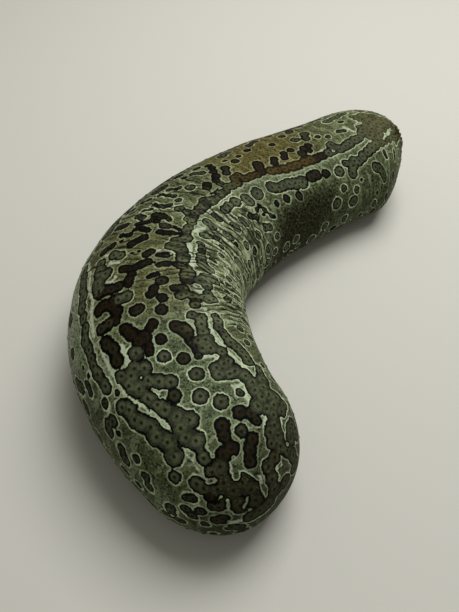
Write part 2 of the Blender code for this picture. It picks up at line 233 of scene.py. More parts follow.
# Spots of the body wall: beads that run together into islands, each island with one tone,
# where 0 is grey-olive, 1 dark brown and 2 orange-brown. A bead is its distance over the
# back, its distance round the girth and, where it isn't the island's, its own radius.
ISLANDS = (
    # tone, radius, beads
    # fore back, single spots
    (0.35, 4.1, (63, -3)),
    (0.1, 4.1, (71, 2.8)),
    (0.3, 3.9, (81.7, -2.6)),
    (0.8, 3.7, (92, -1.2)),
    (0.15, 2.3, (61.4, -14)),
    (0.15, 3.6, (97.2, 6.4)),
    (1.0, 3.0, (106.5, 4)),
    (1.0, 2.6, (114, 7.2), (116.4, 4.6)),
    (1.0, 2.1, (103, 11.8), (105.8, 10.8)),
    (0.9, 3.6, (122.7, -1.4)),
    (1.0, 3.1, (129.9, -3.6)),
    (1.0, 2.3, (133.5, 2.6), (135, 0.4), (137.5, -0.6)),
    (0.9, 2.7, (126.6, 8.8), (126, 12)),
    (0.8, 3.4, (142, -4.6)),
    (1.0, 1.6, (145.9, 1.8), (146.6, -0.4), (147.3, -2.4)),
    (1.0, 0.9, (156.3, -0.8)),
    (0.8, 2.0, (154.6, -3.8), (155.4, -6.2), (155.7, -8.6)),
    (0.9, 2.0, (162.7, -2.4), (163.3, -5), (163.4, -7.6)),
    (0.9, 2.5, (163, 4.6), (165.5, 2.2)),
    (1.0, 1.2, (164.3, 12.8)),
    (1.0, 1.0, (165.5, 9.3)),
    (1.0, 1.2, (174, 22.6)),
    # dark patches of the mid back
    (1.0, 2.8, (170.8, 15.4), (173.6, 13), (176.6, 10)),
    (1.0, 2.5, (142.8, 13), (146, 12.6), (149.5, 11)),
    (1.0, 2.8, (157, 3), (155, 6.2), (153.4, 9.6), (153.4, 13), (153.8, 16)),
    (1.0, 2.2, (183, 10), (184, 13.5), (183.5, 17.5)),
    (0.95, 1.8, (189.3, 13), (188.4, 16), (187.6, 19)),
    (1.0, 2.0, (178.8, 19.5), (178.6, 24.5)),
    (0.9, 2.0, (191.5, 8), (191.7, 11.5)),
    (0.9, 2.5, (196.3, 6), (197, 9), (197, 12.4)),
    (1.0, 3.6, (111, 10.8), (110, 14.4), (115, 17), (118.6, 18.6)),
    (0.25, 4.0, (105.5, 18)),
    (1.0, 3.2, (125, 22.5), (129.5, 20.8), (133, 23), (135.6, 27), (133.5, 31)),
    (0.8, 3.2, (125, 26), (124.5, 31)),
    (0.15, 3.4, (135.4, 19), (136, 14.2)),
    (0.9, 2.8, (136, 22)),
    (0.9, 3.7, (107, 28.3), (112.8, 28), (116.5, 30.5)),
    (0.9, 3.1, (143, 18.4), (142.6, 22.4), (143.1, 26), (143.1, 30)),
    (0.15, 4.1, (153.2, 26.5), (149, 31), (144.5, 30), (156, 31), (161, 31.5, 3)),
    (0.2, 3.2, (163.5, 19.5), (164.5, 24)),
    (0.9, 2.3, (172, 27.6), (170.6, 30), (168.8, 32.4)),
    (0.9, 2.3, (186.5, 26.6), (186, 29), (185.8, 32)),
    # the outer island above the left pale line
    (0.1, 4.4, (49.5, 20.6, 3.6), (57, 18), (61, 20.6, 4), (65.5, 19.6), (65.5, 14, 4.2), (70.5, 17.5),
     (76, 20, 3.8), (80, 21.4, 3.6), (84.5, 23.6, 3.9), (90.5, 24.6), (94.5, 28.4, 3.4), (97.5, 25, 4.6),
     (100, 29.5, 3.4)),
    (0.8, 3.6, (78.5, 12.6)),
    (0.15, 3.5, (84.6, 10.4), (88, 14.8), (91, 19), (97, 17.6)),
    (0.1, 3.6, (99.4, 22)),
    # the island below the left pale line
    (0.05, 4.7, (59.5, 30.4), (65.5, 28.4), (70.5, 31), (75, 30.2, 4.2), (79, 32.6, 4.2), (82, 34.6, 4),
     (86.5, 34, 4.2), (89.6, 36.6, 3.6)),
    (0.1, 2.9, (54.5, 37)),
    (0.2, 1.4, (95.5, 35.4)),
    (0.1, 3.4, (101.5, 39.5), (108, 41), (112, 41.5, 2.6), (115.5, 41.2, 3.2)),
    (0.1, 3.3, (119.4, 41.2), (124.8, 42.6), (129.8, 40.4, 3)),
    (0.1, 3.3, (135, 41.6), (140.6, 42.4), (146.4, 41.8, 3.5), (152, 43.4), (157.4, 44.4, 3.5),
     (162.8, 46.4)),
    (0.4, 2.7, (89, 45.6)),
    (0.2, 2.3, (96.6, 44.4)),
    (0.2, 2.5, (80, 51.6), (76.5, 54.4)),
    (0.3, 2.1, (72, 47)),
    (0.2, 2.3, (65.5, 50.4), (62.4, 54)),
    (0.4, 1.3, (84, 46.6)),
    (0.3, 2.0, (105.5, 51), (109, 50.6)),
    (0.4, 1.3, (111, 47.4)),
    (0.2, 2.3, (88, 52), (90, 49)),
    (0.9, 1.3, (115.5, 48.6)),
    (0.1, 3.1, (111, 57), (114, 60)),
    (0.15, 2.5, (126, 56)),
    (0.15, 2.8, (141, 55), (144, 58)),
    # the inner island of the fore body, with its lobes
    (0.85, 3.7, (53.6, -6.8), (49.5, -11, 3.2), (45, -10.8, 2.6)),
    (0.15, 4.6, (50.4, -16.6), (53.5, -22.5), (58.5, -22), (63, -24), (68.2, -23.4), (73.4, -20),
     (73, -16.6, 4), (75.5, -11.6, 4), (79.6, -12.8, 3.6), (80, -17.6, 4), (80.4, -20.6, 3.6),
     (87.3, -20.8, 3.2), (91.6, -16.4, 4.4), (97.5, -16.4, 4.4), (93, -12.6, 3.4), (98.5, -12.6, 3.2)),
    (0.15, 4.5, (47, -20), (47, -26), (50, -31, 3.8), (53, -27.6), (58, -28), (62.6, -31.5),
     (67, -34, 3), (70.5, -36, 2.6)),
    (0.2, 4.5, (42.5, -21.4), (38, -17.4), (33, -15), (28, -12.4), (36.5, -12.6, 3.4), (32, -9, 3)),
    (0.2, 4.2, (24, -14.5), (20, -17), (16, -18.5), (14, -14, 3.4)),
    (0.7, 1.9, (89.5, -8.3), (93.5, -9), (97.5, -9), (100, -8)),
    (0.9, 3.8, (104.5, -9.5), (108, -8), (110.6, -5.4)),
    (0.2, 3.6, (103, -17.4), (108, -18.4), (112.4, -20), (115.4, -15.6, 3)),
    # the chain inside the right pale line
    (0.15, 3.8, (76.5, -32), (80, -32.5), (84, -32.2), (88, -31), (92.3, -29), (96.5, -28.2, 2.8),
     (100.4, -28, 2.7), (104.4, -27.2, 3.1), (109, -28.4, 3.1), (113, -28, 2.4)),
    # dark patch across the inner shoulder of the bend
    (1.0, 3.4, (122.5, -19.5), (127, -20.6), (129.5, -19.4)),
    (0.8, 3.2, (131, -16.4), (130, -13.4), (135.5, -15.4), (136, -10.5, 2.4)),
    (0.5, 3.0, (126, -28), (128.5, -25.6)),
    (0.15, 3.2, (127.5, -31), (132, -28.8)),
    (0.85, 4.0, (142.5, -18.4), (146.5, -18.6), (149, -19.2)),
    (0.15, 3.6, (139, -29), (143.5, -28.6), (148, -29), (143, -25)),
    (0.15, 3.2, (146, -35), (149.5, -33.5)),
    (0.15, 3.5, (158, -31), (160.5, -27), (165.5, -26), (170, -25.5)),
    (0.9, 2.5, (155.7, -12.9), (154.6, -15.8), (153.4, -18.5)),
    (0.35, 3.8, (161, -15.4), (165, -15.6), (170, -13.8), (174.5, -11.4), (178.5, -9.6), (172, -8)),
    (0.4, 2.6, (175, -25), (179, -24.4), (183, -22.6)),
    (0.4, 2.0, (171, -33.5), (172.5, -31.5)),
    (0.35, 3.0, (181.5, -13.5), (184.5, -14), (189.5, -11.5), (194, -11.2), (199, -10.8), (204, -9.4),
     (208.5, -8)),
    (1.0, 2.0, (183, 2.5), (183, -1), (184.4, -4.5), (184.4, -9.4)),
    (0.9, 1.3, (189.6, -4.2), (189, -7.4)),
    (0.3, 2.2, (189, 3), (189, 0)),
    (0.2, 2.6, (200.5, -7.5), (206.5, -3.5)),
    (0.15, 3.0, (207, 1.6)),
    (0.2, 1.8, (194.6, 1.4), (196.5, 3.2)),
    (0.1, 2.1, (213.1, 6.7)),
    (0.2, 1.9, (205.4, 19.3), (204.7, 14.5), (204.7, 10.9), (207.5, 8.8)),
    (0.2, 1.6, (209.6, 27.4), (207.4, 31.2)),
    (0.2, 1.5, (199.8, 22.6), (201.2, 18.6)),
    (0.2, 1.5, (201.9, 33.3), (199.1, 36.1)),
    (0.2, 1.6, (214.5, 22.1), (215.2, 16.5), (215.9, 12.4)),
    (0.1, 1.8, (220.8, 20), (223.6, 15.6)),
    (0.4, 2.6, (193, 19), (194.5, 23)),
    (0.15, 3.4, (227.5, 9)),
    # rings in rows beside the right pale line
    (0.15, 2.9, (206.4, -17.6), (205.6, -22)),
    (0.15, 2.3, (216, -17.6), (215.4, -21.4)),
    (0.15, 3.4, (225.5, -19.6), (230.5, -18.6, 3), (237.5, -19.4, 3.9)),
    (0.15, 3.6, (246, -20.8), (246.6, -23.6)),
    (0.1, 4.5, (256.5, -21.9)),
    (0.25, 4.4, (270, -23), (274.5, -25, 3.6)),
    (0.2, 2.6, (192.5, -21), (195.5, -24)),
    (0.2, 2.3, (208.2, -30.2), (209.2, -34.6)),
    (0.2, 2.4, (219.4, -29.6), (220, -33.2)),
    (0.3, 2.3, (229.4, -30.2), (230.4, -33.6)),
    (0.95, 2.4, (238.6, -32.2), (242, -34.4)),
    (0.95, 1.4, (246.6, -31), (251, -29.6)),
    (0.2, 1.9, (252.4, -33.4), (254.6, -38.6)),
    (0.8, 1.7, (208.8, -39)),
    (0.2, 2.6, (234, -44)),
    (0.2, 2.8, (244, -42.5), (248, -43.8)),
    (0.2, 3.8, (196, -52), (195.5, -47)),
    (0.5, 2.0, (193, -33.5)),
    (0.15, 4.1, (279, -25.2), (284, -25.6), (289, -26.9), (294.6, -28, 4.5)),
    (0.9, 3.9, (303, -27), (307.6, -26.7)),
    (0.95, 3.4, (315, -28.2)),
    (0.9, 3.1, (275.6, -33.8)),
    (0.8, 2.8, (286.5, -35.6)),
    (0.9, 1.9, (265.2, -33.4)),
    (0.05, 4.0, (326, -30.4)),
    (0.1, 4.2, (335.8, -34.6), (339, -30.2), (342, -27.4), (333.5, -26.6, 2.6)),
    (0.15, 4.0, (346, -28.4), (351, -26.4), (357, -24.8), (362.5, -22.8, 4.3), (367.5, -21.2)),
    (0.05, 3.9, (315.6, -50.3)),
    (0.05, 4.2, (330.5, -53.4)),
    (0.05, 2.9, (335, -46.2)),
    (0.2, 2.7, (324, -42)),
    (0.9, 1.1, (341.8, -41)),
    (0.4, 2.2, (374.2, -27.6), (375.2, -30.8)),
    (0.3, 2.2, (388, -24), (388.4, -28.2)),
    (0.3, 3.7, (359, -36.4), (363.5, -38.2), (366.8, -42), (368.4, -45.4)),
    (0.9, 1.2, (358, -55)),
    (0.05, 3.3, (262, -64.5)),
    (0.05, 3.2, (239.5, -56)),
    (0.1, 3.0, (273, -63)),
    (0.1, 2.8, (305, -65)),
    (0.1, 3.2, (356, -63.5)),
    (0.1, 3.0, (324, -66)),
    # rows of pressed rings down the inner side of the bend
    (0.25, 2.6, (161, -45)),
    (0.5, 2.2, (175, -45), (171.5, -47)),
    (0.3, 2.2, (184, -36)),
    (0.2, 2.4, (186, -51)),
    (0.3, 2.2, (198.5, -28)),
    (0.2, 3.0, (217, -44)),
    (0.2, 2.7, (223, -51)),
    (0.2, 2.8, (210.5, -55)),
    (0.9, 1.2, (221, -61.5)),
    (0.2, 2.6, (228.5, -61)),
    (0.15, 2.8, (236, -66.5)),
    (0.1, 2.6, (247.5, -62)),
    (0.2, 2.4, (203, -63)),
    (0.3, 2.4, (151, -44)),
    (0.3, 2.0, (163.5, -54)),
    (0.3, 2.2, (141, -43)),
    (0.3, 2.3, (131, -41), (134, -43)),
    (0.2, 2.2, (176, -57)),
    (0.2, 2.4, (252, -52)),
    (0.8, 1.3, (249, -35.5)),
    (0.8, 1.3, (257, -40)),
    # the orange-brown band above the right pale line
    (0.4, 3.9, (213, -8.4), (218, -8.6), (221.5, -5.6, 3), (224.5, -9), (229, -8.6), (234, -8.5),
     (239, -8.5)),
    (0.8, 3.3, (243.5, -7), (246.5, -8.6)),
    (1.5, 3.6, (251, -8.8), (253.5, -4.4), (257, -3.4, 3), (258.5, -8.6), (263.5, -9), (268, -10)),
    (1.1, 3.6, (272.5, -9.6), (274.5, -5.5), (276, -2.2)),
    (1.8, 4.2, (279, -11.8), (284, -13.2), (289, -14.7), (294.4, -15.2), (299.5, -15.3), (306, -15.2),
     (311, -15.2)),
    (1.1, 3.7, (316, -15.8), (321, -15.5)),
    (0.2, 3.9, (327, -15), (331.5, -14.6), (333, -9.6, 3.4), (337, -15.3), (342.5, -14.8), (347, -13.8),
     (352.5, -12.8), (356.5, -12.4)),
    (0.95, 2.7, (288.5, -3.6), (286, -7)),
    (0.95, 2.6, (298, -2.4), (295.5, -6)),
    (0.95, 2.5, (304.6, -1.4)),
    (0.9, 3.2, (309.5, -8), (314, -4)),
    (1.0, 2.7, (319, -2.6), (315.5, -7.5)),
    (1.0, 3.0, (236, 3.4), (233.5, 1.2)),
    (1.0, 3.0, (243, 2), (246.3, 5.2)),
    (0.8, 2.8, (242.5, -2)),
    (0.7, 3.0, (253.5, 3), (256.5, 7.6)),
    (0.9, 2.7, (266.5, 9.8)),
    (0.5, 1.5, (262.5, 14.8)),
    (1.0, 1.9, (272.6, 13.4)),
    (1.0, 2.3, (281.8, 16.6)),
    (0.5, 2.5, (240.4, 20), (243.6, 15.6)),
    (0.95, 2.5, (252.6, 19.4), (251.6, 14.6), (248.8, 10)),
    (1.0, 2.3, (298.6, 11.6)),
    (0.4, 3.4, (315.4, 7.4)),
    (0.8, 2.8, (311.8, 18)),
    (0.6, 3.2, (323, 5), (325.5, 10)),
    (0.5, 2.4, (330.8, 2)),
    (0.1, 2.3, (336.8, -1.6)),
    (0.1, 2.2, (355, 9)),
    (0.6, 1.9, (347.5, 0), (351, -1)),
    (0.7, 2.8, (288, 23), (294, 26)),
    (0.7, 3.0, (307, 27)),
    (0.7, 2.8, (320, 20), (322, 24)),
    (0.4, 3.2, (266, 22.5), (271, 25)),
    # the posterior dome
    (0.25, 4.4, (361.5, -8.6), (366.5, -12.6), (371.5, -17.6), (375, -12), (371, -7), (365, -2),
     (371, -1), (376.5, -5), (382.4, -6.6, 3.6), (369, 5), (376, 3), (365, 10, 3.6), (372, 11)),
    (0.5, 4.0, (381, -1), (383, 5), (379, 10), (387, 0), (388, 8)),
    (0.35, 2.8, (373.6, -20.8), (378.6, -18.4), (384, -15.6), (388.6, -11.6), (391, -7)),
    (0.4, 3.1, (392.4, -12.4), (395, -7), (396.4, 0), (394, 8)),
    (0.1, 3.4, (350, 17), (356, 18), (362, 20)),
    # the near dome
    (0.95, 3.5, (40, -3), (37, 1.5), (33.5, 5)),
    (0.5, 3.4, (46, -1)),
    (0.95, 3.9, (54, 4.2, 3.6), (49.5, 7, 3.4), (43.5, 8.3), (44.4, 13)),
    (0.5, 4.4, (42, 17.4), (36.5, 20.8), (31, 19.5), (30, 14), (24.5, 12.8), (19.5, 14)),
    (0.45, 4.2, (24.5, 21.4), (30, 24.6), (37, 25), (43, 21.8, 3.6)),
    (0.3, 3.6, (45.4, 30.8), (42, 29.6, 3.2)),
    (0.9, 2.3, (38.2, 30.6), (36, 28.6)),
    (0.4, 2.2, (35, 33), (32.4, 30.4)),
    (0.6, 2.7, (31, 37), (28.6, 33.6)),
    (0.3, 2.6, (38.5, 39.6)),
    (0.4, 2.0, (43.4, 37.4), (46, 39.6)),
    (0.3, 2.4, (44.6, 45), (41, 46.5)),
    (0.4, 2.6, (24, 35), (20.5, 32.5)),
    (0.4, 3.8, (26, -6), (25, -0.5), (19, 1.5)),
    (0.2, 4.2, (28, -22), (32.5, -26.4), (34, -31), (29, -30)),
    (0.3, 3.8, (42, -28), (45, -33)),
    (0.3, 3.8, (14, 3), (11, 9), (14, 15), (17, 21), (11, -5)),
)

# Pale islets and squiggles in the islands, each a radius and the places it runs through
ISLETS = (
    (2.2, (82.4, 16.4)),
    (1.4, (81.9, 18.2)),
    (1.35, (94.1, 21.2)),
    (0.95, (117.9, 34), (115, 36.8), (108.8, 35.4), (103.2, 36.1), (99, 35.4)),
    (1.15, (99, 35.4), (97.6, 32.6), (92.7, 31.9), (87.1, 29.1), (82.9, 27), (76.6, 24.9), (70.3, 24.2)),
    (1.5, (41.6, 25.8), (40.2, 23.8)),
    (1.0, (34.2, 28), (33.8, 26)),
    (1.15, (30.6, 24.6), (29.3, 26), (28.2, 28)),
    (1.1, (23.6, 16.6), (22.7, 18.4), (22.6, 20.2)),
    (1.15, (25.8, 32.2), (24.1, 30), (22, 29.6)),
    (1.0, (26.1, 36), (27, 37.8)),
    (1.2, (40, 10), (38.4, 11.4), (36.4, 12.4)),
    (2.3, (35.6, 13.2), (33.8, 14.6)),
    (1.8, (38.2, -24.2)),
    (1.3, (26.5, -17)),
    (1.9, (68.9, -29.6)),
    (1.7, (43.4, -15.2)),
    (1.3, (85.5, -15.5)),
    (1.0, (164.5, -9)),
    (1.4, (47.5, 16.8)),
    (1.1, (378, -16.6), (381, -13), (384.5, -8.6), (388.5, -3.4)),
    (1.1, (331.4, -15)),
    (1.0, (226.4, -4.2), (229, -5.6), (231.3, -7)),
    (0.95, (236.9, -5), (240, -6)),
    (0.95, (192.1, -1.4), (192.8, -5.4)),
    (1.0, (211, -1.4), (211.7, -4.4)),
    (0.95, (182.3, -7.4), (184.6, -9.6)),
    (1.1, (360.6, 13), (363, 8.4), (360.4, 4.6), (362, 0.8), (366, 1.2)),
)

# White patches on the ground between the islands, written in the same way
WHITE_PATCHES = (
    (1.6, (176.7, -17.8), (168.3, -18.5), (160.6, -20.6), (151.5, -21.3)),
    (1.0, (165.5, -0.3), (168.3, -3.1), (169, -7.3), (164.1, -10.8)),
    (1.5, (136.1, -22), (132.6, -24.1), (129.8, -24.8)),
    (1.1, (111.6, -8), (110.2, -12.2), (103.2, -12.2)),
    (1.2, (165.5, 43.1), (157.1, 38.2), (149.4, 37.5), (141, 34), (135.4, 35.4), (123.5, 36.1)),
    (1.1, (120, 33.3), (113.7, 34), (106, 33.3), (98.3, 32.6)),
    (0.8, (97.6, 32.6), (92.7, 31.9), (87.1, 29.1), (82.9, 27), (76.6, 24.9), (70.3, 24.2)),
    (1.0, (119, -24), (105, -22.2), (96, -22.6), (84, -24.6), (70, -28)),
    (1.8, (111.6, 23.5), (107.4, 22.8), (102.5, 23.5)),
    (1.1, (166.2, 31.2), (164.8, 24.2), (159.2, 24.9), (158.5, 19.3)),
    (1.0, (148, 27.7), (146.6, 22.1), (149.4, 20)),
    (1.0, (88.5, -7.3), (86.4, -15), (81.5, -18.5)),
    (1.4, (192.8, -15), (199.1, -18.5)),
    (1.1, (66.1, -13.6), (64, -18.5), (56.3, -14.3)),
    (0.5, (45.1, -4.5), (40.2, -12.2), (36, -10.8)),
    (0.7, (25.5, 6), (22, 6.7)),
    (1.1, (44.4, -17.8), (41.6, -12.9)),
    (1.1, (39.5, -24.8), (36.7, -22)),
    (0.6, (21.3, -1.7), (20.6, -6.6), (23.4, -8.7)),
    (0.5, (59.8, 27), (53.5, 24.9), (46.5, 26.3)),
    (1.2, (24.8, 31.9), (19.9, 25.6)),
    (0.9, (245.3, 4.6), (243.2, -4.5)),
    (0.9, (353.1, 14.4), (358, 15.4)),
    (1.0, (353.1, 2.5), (356.6, -5.2)),
    (0.8, (324.4, -10.8), (317.4, -12.9)),
)

# The two pale lines along the back, each place a distance over the back and round the girth
OUTER_LINE = ((49, 25), (70, 24.2), (83, 27.4), (92.7, 31.4), (102, 36), (120, 38), (165, 47), (200, 48),
              (250, 43), (300, 37), (340, 33), (385, 25))
INNER_LINE = ((49, -35), (65, -30), (90, -23), (105, -22), (120, -24), (150, -22), (180, -17),
              (215, -13), (255, -13), (285, -19), (310, -21), (350, -17), (385, -13))

# Where the islands above end, low and high round the girth: fillers lie beyond
PLACED_REACH = ((0, -12, 20), (15, -21, 25), (30, -34, 38), (45, -36, 46), (70, -39, 48),
                (90, -36, 50), (112, -38, 63), (145, -48, 62), (160, -56, 50), (172, -60, 37),
                (192, -64, 34), (215, -64, 23), (235, -68, 17), (255, -68, 24), (290, -68, 29),
                (325, -69, 26), (350, -67, 21), (365, -66, 22), (375, -46, 16), (392, -26, 14),
                (402, -5, 5))

# Beads run together over the blend, with necks narrower than they are. Rows farther from
# a bead than the window keep what they have, which is no spot within nine millimetres.
ISLAND_BLEND = 0.6
NECK_WIDTH = 0.62
NECK_SHARE = 0.5
NO_SPOT = 9.0
SPOT_WINDOW = 26.0
LEAST_PRESS, MOST_PRESS = 0.65, 2.2


def along_line(line, at):
    """How far round the girth a line runs at a distance over the back."""
    places = np.array(line)
    return np.interp(at, places[:, 0], places[:, 1])


def bead_frame(place):
    """A bead's point, the way along the body there, and how far the bend has pressed the
    skin together along it (above 1) or drawn it out (below 1)."""
    along_bead = np.interp(place[0], *ARC_TABLE)
    turn_bead = np.pi / 2 - np.interp(place[1], girth_table(along_bead), TURN)
    near = np.clip(along_bead + np.array((-0.5, 0.5)), 0.0, BODY_LENGTH)
    ends = skin_point(near, turn_bead)
    way = (ends[1] - ends[0]) / np.linalg.norm(ends[1] - ends[0])
    bend = np.diff(spine_at(near)[2])[0] / (near[1] - near[0])
    half_width = through_stations(2, along_bead / BODY_LENGTH)
    drawn = 1.0 - half_width * math.cos(turn_bead) * bend
    press = float(np.clip(1.0 / drawn, LEAST_PRESS, MOST_PRESS))
    return skin_point(along_bead, turn_bead), way, press


def pressed(points, centre, way, press):
    """Offsets from a centre, lengthened along the body as much as the skin is pressed."""
    off = points - centre
    return off + ((press - 1.0) * (off @ way))[..., None] * way


def blended(away, own):
    """A bead's share of the sum that blends an island, kept within what a number can hold."""
    return np.exp(-np.clip(away - own, -8, 30) / ISLAND_BLEND)


def island_depth(beads, radius, window):
    """How far points lie outside an island's edge, with its beads and the necks between."""
    points = smooth[window]
    grown = np.zeros(points.shape[:2])
    dots = np.full(points.shape[:2], NO_SPOT)
    last = None
    for bead in beads:
        own = bead[2] if len(bead) > 2 else radius
        centre, way, press = bead_frame(bead)
        off = pressed(points, centre, way, press)
        away = np.sqrt((off * off).sum(2))
        dots = np.minimum(dots, away)
        grown += blended(away, own)
        if last is not None:
            back = pressed(last[0], centre, way, press)
            share = np.clip((off @ back) / (back @ back + 1e-9), 0.0, 1.0)
            away = np.linalg.norm(off - share[..., None] * back, axis=2)
            grown += NECK_SHARE * blended(away, NECK_WIDTH * min(own, last[1]))
        last = (centre, own)
    return -ISLAND_BLEND * np.log(grown + 1e-30), dots


def rows_near(low, high):
    """The rows of the skin that a spot between two distances over the back can reach."""
    return slice(*np.searchsorted(arc, (low - SPOT_WINDOW, high + SPOT_WINDOW)))


edge = np.full(girth.shape, NO_SPOT)
dot = np.full(girth.shape, NO_SPOT)
tone = np.zeros(girth.shape)
placed_beads = []


def lay_island(island_tone, radius, beads):
    """Adds one island to the skin's fields: edge distance, dot distance and tone."""
    window = rows_near(min(b[0] for b in beads), max(b[0] for b in beads))
    depth, dots = island_depth(beads, radius, window)
    nearer = depth < edge[window]
    tone[window] = np.where(nearer, island_tone, tone[window])
    edge[window] = np.minimum(edge[window], depth)
    dot[window] = np.minimum(dot[window], dots)
    for bead in beads:
        own = bead[2] if len(bead) > 2 else radius
        placed_beads.append((*skin_place(bead[0], bead[1]), own))


def room_for(place, radius, gap):
    """Whether a spot at a place on the skin keeps its distance from all the others."""
    centre = skin_place(*place)
    others = np.array(placed_beads)
    away = np.linalg.norm(others[:, :3] - centre, axis=1)
    return bool((away > others[:, 3] + radius + gap).all())


def beyond_placed(place, margin=1.5):
    """Whether a place lies clear of the girths that the placed islands cover."""
    reach = np.array(PLACED_REACH)
    low, high = (np.interp(place[0], reach[:, 0], reach[:, i]) for i in (1, 2))
    return place[1] < low - margin or place[1] > high + margin


def stroke(places, step=0.8):
    """Places every so many millimetres along a run of places."""
    filled = []
    for (at, off), (next_at, next_off) in zip(places, places[1:]):
        count = max(1, round(math.hypot(next_at - at, next_off - off) / step))
        for i in range(count):
            filled.append((at + (next_at - at) * i / count, off + (next_off - off) * i / count))
    return filled + [places[-1]]


def strokes(runs):
    """For every place along the runs, the rows near it and how far their points lie outside
    its radius."""
    for radius, *places in runs:
        for place in stroke(places):
            window = rows_near(place[0], place[0])
            away = np.linalg.norm(smooth[window] - skin_place(*place), axis=2)
            yield window, away - radius


for island_tone, radius, *beads in ISLANDS:
    lay_island(island_tone, radius, beads)

# Chains of beads along both sides of the outer pale line, where the islands above end
FILLER_SEED = 23
OUTER_CHAINS = (
    # how far beyond the line, where it starts over the back, smallest and largest radius
    (-6.5, 170.0, 2.9, 4.1),
    (6.5, 158.0, 2.6, 3.9),
)
CHAIN_COUNTS = (1, 1, 2, 3, 4, 6)
CHAIN_END = 376
CHAIN_GAPS = (3.0, 6.0)
CHAIN_STRAY = 1.9
BEAD_STEPS = (4.4, 6.0)
BEAD_SIZES = (0.75, 1.15)
BEAD_GAP = 0.8
OLIVE_TONES, ORANGE_TONES = (0.1, 0.7), (1.2, 2.0)
ORANGE_FROM, ORANGE_TO = 240, 330

draw = random.Random(FILLER_SEED)
for side, at, smallest, largest in OUTER_CHAINS:
    while at < CHAIN_END:
        count = draw.choice(CHAIN_COUNTS)
        radius = draw.uniform(smallest, largest)
        beads = []
        for _ in range(count):
            stray = draw.uniform(-CHAIN_STRAY, CHAIN_STRAY)
            own = radius * draw.uniform(*BEAD_SIZES)
            beads.append((at, float(along_line(OUTER_LINE, at)) + side + stray, own))
            at += draw.uniform(*BEAD_STEPS)
        at += draw.uniform(*CHAIN_GAPS)
        orange = side < 0 and ORANGE_FROM < at < ORANGE_TO
        chain_tone = draw.uniform(*(ORANGE_TONES if orange else OLIVE_TONES))
        free = [b for b in beads if beyond_placed(b) and room_for(b[:2], b[2], BEAD_GAP)]
        if free:
            lay_island(chain_tone, radius, free)

# Scattered spots over the rest of the back and both flanks, smaller towards the sole
SCATTER_TRIES = 5200
SCATTER_RADII = (1.9, 4.2)
SCATTER_GAPS = (1.6, 3.4)
SCATTER_STEPS = (1.1, 1.5)
SOLE_SIZE, ADDED_SIZE, ADDED_FROM, ADDED_OVER = 0.45, 0.55, 4.0, 22.0
BACK_TONES, FLANK_TONES = (0.7, 1.1), (0.1, 0.2, 0.35, 0.9)
BACK_CHANCE, FLANK_CHANCE = 0.5, 0.34
MOST_BEADS = 5
LOBE_GAP = 1.0
BACK_INSET = 4
BARE_END = 6.0
LOWEST_SPOT = 3.0
LINE_CLEARANCE = 1.8
LINES_FROM, LINES_TO = 49, 385

for _ in range(SCATTER_TRIES):
    at = draw.uniform(BARE_END, ARC_TOTAL - BARE_END)
    widest = float(np.interp(at, arc, girth[:, -1]))
    place = (at, draw.uniform(-widest, widest))
    height = float(skin_place(*place)[2])
    low, high = along_line(INNER_LINE, at) + BACK_INSET, along_line(OUTER_LINE, at) - BACK_INSET
    on_back = low < place[1] < high
    size = SOLE_SIZE + ADDED_SIZE * min(1.0, max(0.0, height - ADDED_FROM) / ADDED_OVER)
    radius = draw.uniform(*SCATTER_RADII) * size
    gap = draw.uniform(*SCATTER_GAPS)
    if height < LOWEST_SPOT or not beyond_placed(place, radius) or not room_for(place, radius, gap):
        continue
    off_line = abs(place[1] - along_line(OUTER_LINE, at))
    if off_line < radius + LINE_CLEARANCE and LINES_FROM < at < LINES_TO:
        continue
    beads = [place]
    while len(beads) < MOST_BEADS and draw.random() < (BACK_CHANCE if on_back else FLANK_CHANCE):
        way = draw.uniform(0.0, math.tau)
        step = radius * draw.uniform(*SCATTER_STEPS)
        beside = (beads[-1][0] + step * math.cos(way), beads[-1][1] + step * math.sin(way))
        clear_of_ends = BARE_END < beside[0] < ARC_TOTAL - BARE_END
        if not clear_of_ends or not beyond_placed(beside, radius):
            break
        if room_for(beside, radius, LOBE_GAP):
            beads.append(beside)
    spot_tone = draw.uniform(*BACK_TONES) if on_back else draw.choice(FLANK_TONES)
    lay_island(spot_tone, radius, beads)

# Small dark papillae, close together on the posterior dome and along the dusky inner flank
DARK_PAPILLAE = (
    # tries, stretch over the back, stretch round the girth, least spacing
    (700, (352.0, ARC_TOTAL - 3.0), (-52.0, 52.0), 3.2),
    (1500, (218.0, 348.0), (-78.0, -26.0), 2.7),
)
FAINTEST_PAPILLA = 0.3

for tries, arcs, girths, spacing in DARK_PAPILLAE:
    for _ in range(tries):
        place = (draw.uniform(*arcs), draw.uniform(*girths))
        centre = skin_place(*place)
        window = rows_near(place[0], place[0])
        away = np.linalg.norm(smooth[window] - centre, axis=2)
        nearest = np.unravel_index(np.argmin(away), away.shape)
        if dot[window][nearest] > spacing:
            dot[window] = np.minimum(dot[window], away + draw.uniform(0.0, FAINTEST_PAPILLA))

for window, outside in strokes(ISLETS):
    edge[window] = np.maximum(edge[window], -outside)

patch = np.full(girth.shape, NO_SPOT)
for window, outside in strokes(WHITE_PATCHES):
    patch[window] = np.minimum(patch[window], outside)

# Height in millimetres, cell in millimetres and seed of the waves in the islands' edges
EDGE_WAVES = ((0.45, 6.5, 3), (0.40, 2.6, 4))
edge += waves(EDGE_WAVES)

